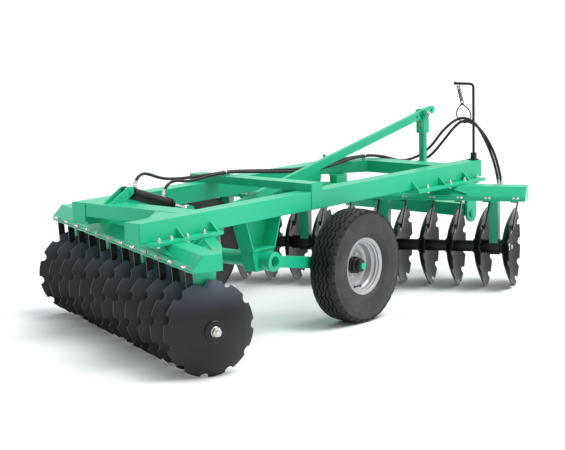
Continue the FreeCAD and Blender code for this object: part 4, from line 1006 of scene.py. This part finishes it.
def dress_cylinder():
    along = cylinder_place(1, 0) - cylinder_place(0, 0)
    upward = cylinder_place(0, 1) - cylinder_place(0, 0)
    build = bmesh.new()
    fitting = bmesh.new()
    for run in (0.060, 0.440):
        turn(build, [(0.0445, -0.012), (0.050, -0.010), (0.050, 0.010), (0.0445, 0.012)],
             cylinder_place(run, 0), along, 40)
    turn(build, [(0.0375, 0), (0.050, 0.001), (0.050, 0.030), (0.046, 0.034), (0.0375, 0.034)],
         cylinder_place(0.464, 0), along, 40)
    for run in (0.070, 0.395):
        turn(fitting, [(0, 0.036), (0.021, 0.036), (0.021, 0.050), (0.0125, 0.052), (0.0125, 0.060), (0, 0.060)],
             cylinder_place(run, 0), upward, 24)
        hexagon(fitting, cylinder_place(run, 0.058), upward, 0.0160, 0.014)
        turn(fitting, [(0, 0.070), (0.0130, 0.070), (0.0135, 0.073), (0.0135, 0.094), (0.0115, 0.098), (0, 0.098)],
             cylinder_place(run, 0), upward, 20)
    piece("barrel_bands", close("bands", build), BLACK, "cylinder_body")
    piece("barrel_fittings", close("fittings", fitting, 30), ZINCED, "cylinder_body")


dress_cylinder()


def link_nuts():
    """A bright bolt head on each side of the levelling link's front pin."""
    low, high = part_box("link_pin")
    middle = (low + high) / 2
    build = bmesh.new()
    for way, face in ((-1, low.y), (1, high.y)):
        bolt(build, Vector((middle.x, face, middle.z)), (0, way, 0), 0.019, 0.004)
    return close("nuts", build)


piece("link_pin_nuts", link_nuts(), ZINCED, "top_link")


# Floor and light

def lay_floor():
    bpy.ops.mesh.primitive_plane_add(size=120, location=(0, 0, 0))
    floor = bpy.context.object
    floor.name = "floor"
    floor.data.materials.append(FLOOR)


def add_light(name, kind, energy, at, size=1.0, colour=(1, 1, 1)):
    data = bpy.data.lights.new(name, kind)
    data.energy = energy
    data.color = colour
    if kind == "SUN":
        data.angle = math.radians(size)
    else:
        data.shape = "DISK"
        data.size = size
    lamp = bpy.data.objects.new(name, data)
    lamp.location = at
    lamp.rotation_mode = "QUATERNION"
    lamp.rotation_quaternion = (-Vector(at)).to_track_quat("-Z", "Y")
    bpy.context.collection.objects.link(lamp)


SKY_LEVEL = 0.64
SKY_LEAN = (0.48, -0.20, 0.30)


def light_scene():
    """White seen by the camera and in gloss, a soft cool fill, and a broad sun from the front right."""
    world = bpy.data.worlds.new("sky")
    bpy.context.scene.world = world
    world.use_nodes = True
    tree = world.node_tree
    backdrop = tree.nodes["Background"]
    backdrop.inputs["Color"].default_value = (1, 1, 1, 1)
    backdrop.inputs["Strength"].default_value = 1.0
    fill = node(tree, "Background")
    fill.inputs["Color"].default_value = (0.94, 0.97, 1.0, 1)
    # The sky is lighter overhead and to the front right, darker behind the rear gang.
    sky = node(tree, "TexCoord")
    lean = node(tree, "VectorMath", operation="DOT_PRODUCT")
    lean.inputs[1].default_value = SKY_LEAN
    level = node(tree, "Math", operation="ADD", use_clamp=False)
    level.inputs[1].default_value = SKY_LEVEL
    tree.links.new(sky.outputs["Generated"], lean.inputs[0])
    tree.links.new(lean.outputs["Value"], level.inputs[0])
    tree.links.new(level.outputs["Value"], fill.inputs["Strength"])
    rays = node(tree, "LightPath")
    seen = node(tree, "Math", operation="MAXIMUM")
    through = node(tree, "Math", operation="MAXIMUM")
    tree.links.new(rays.outputs["Is Camera Ray"], seen.inputs[0])
    tree.links.new(rays.outputs["Is Glossy Ray"], seen.inputs[1])
    tree.links.new(seen.outputs["Value"], through.inputs[0])
    tree.links.new(rays.outputs["Is Transmission Ray"], through.inputs[1])
    mix = node(tree, "MixShader")
    tree.links.new(through.outputs["Value"], mix.inputs["Fac"])
    tree.links.new(fill.outputs["Background"], mix.inputs[1])
    tree.links.new(backdrop.outputs["Background"], mix.inputs[2])
    tree.links.new(mix.outputs["Shader"], tree.nodes["World Output"].inputs["Surface"])
    add_light("key", "SUN", 2.0, (2.2, -3.4, 8.0), 32)


bpy.context.scene.view_settings.view_transform = "Standard"
lay_floor()
light_scene()
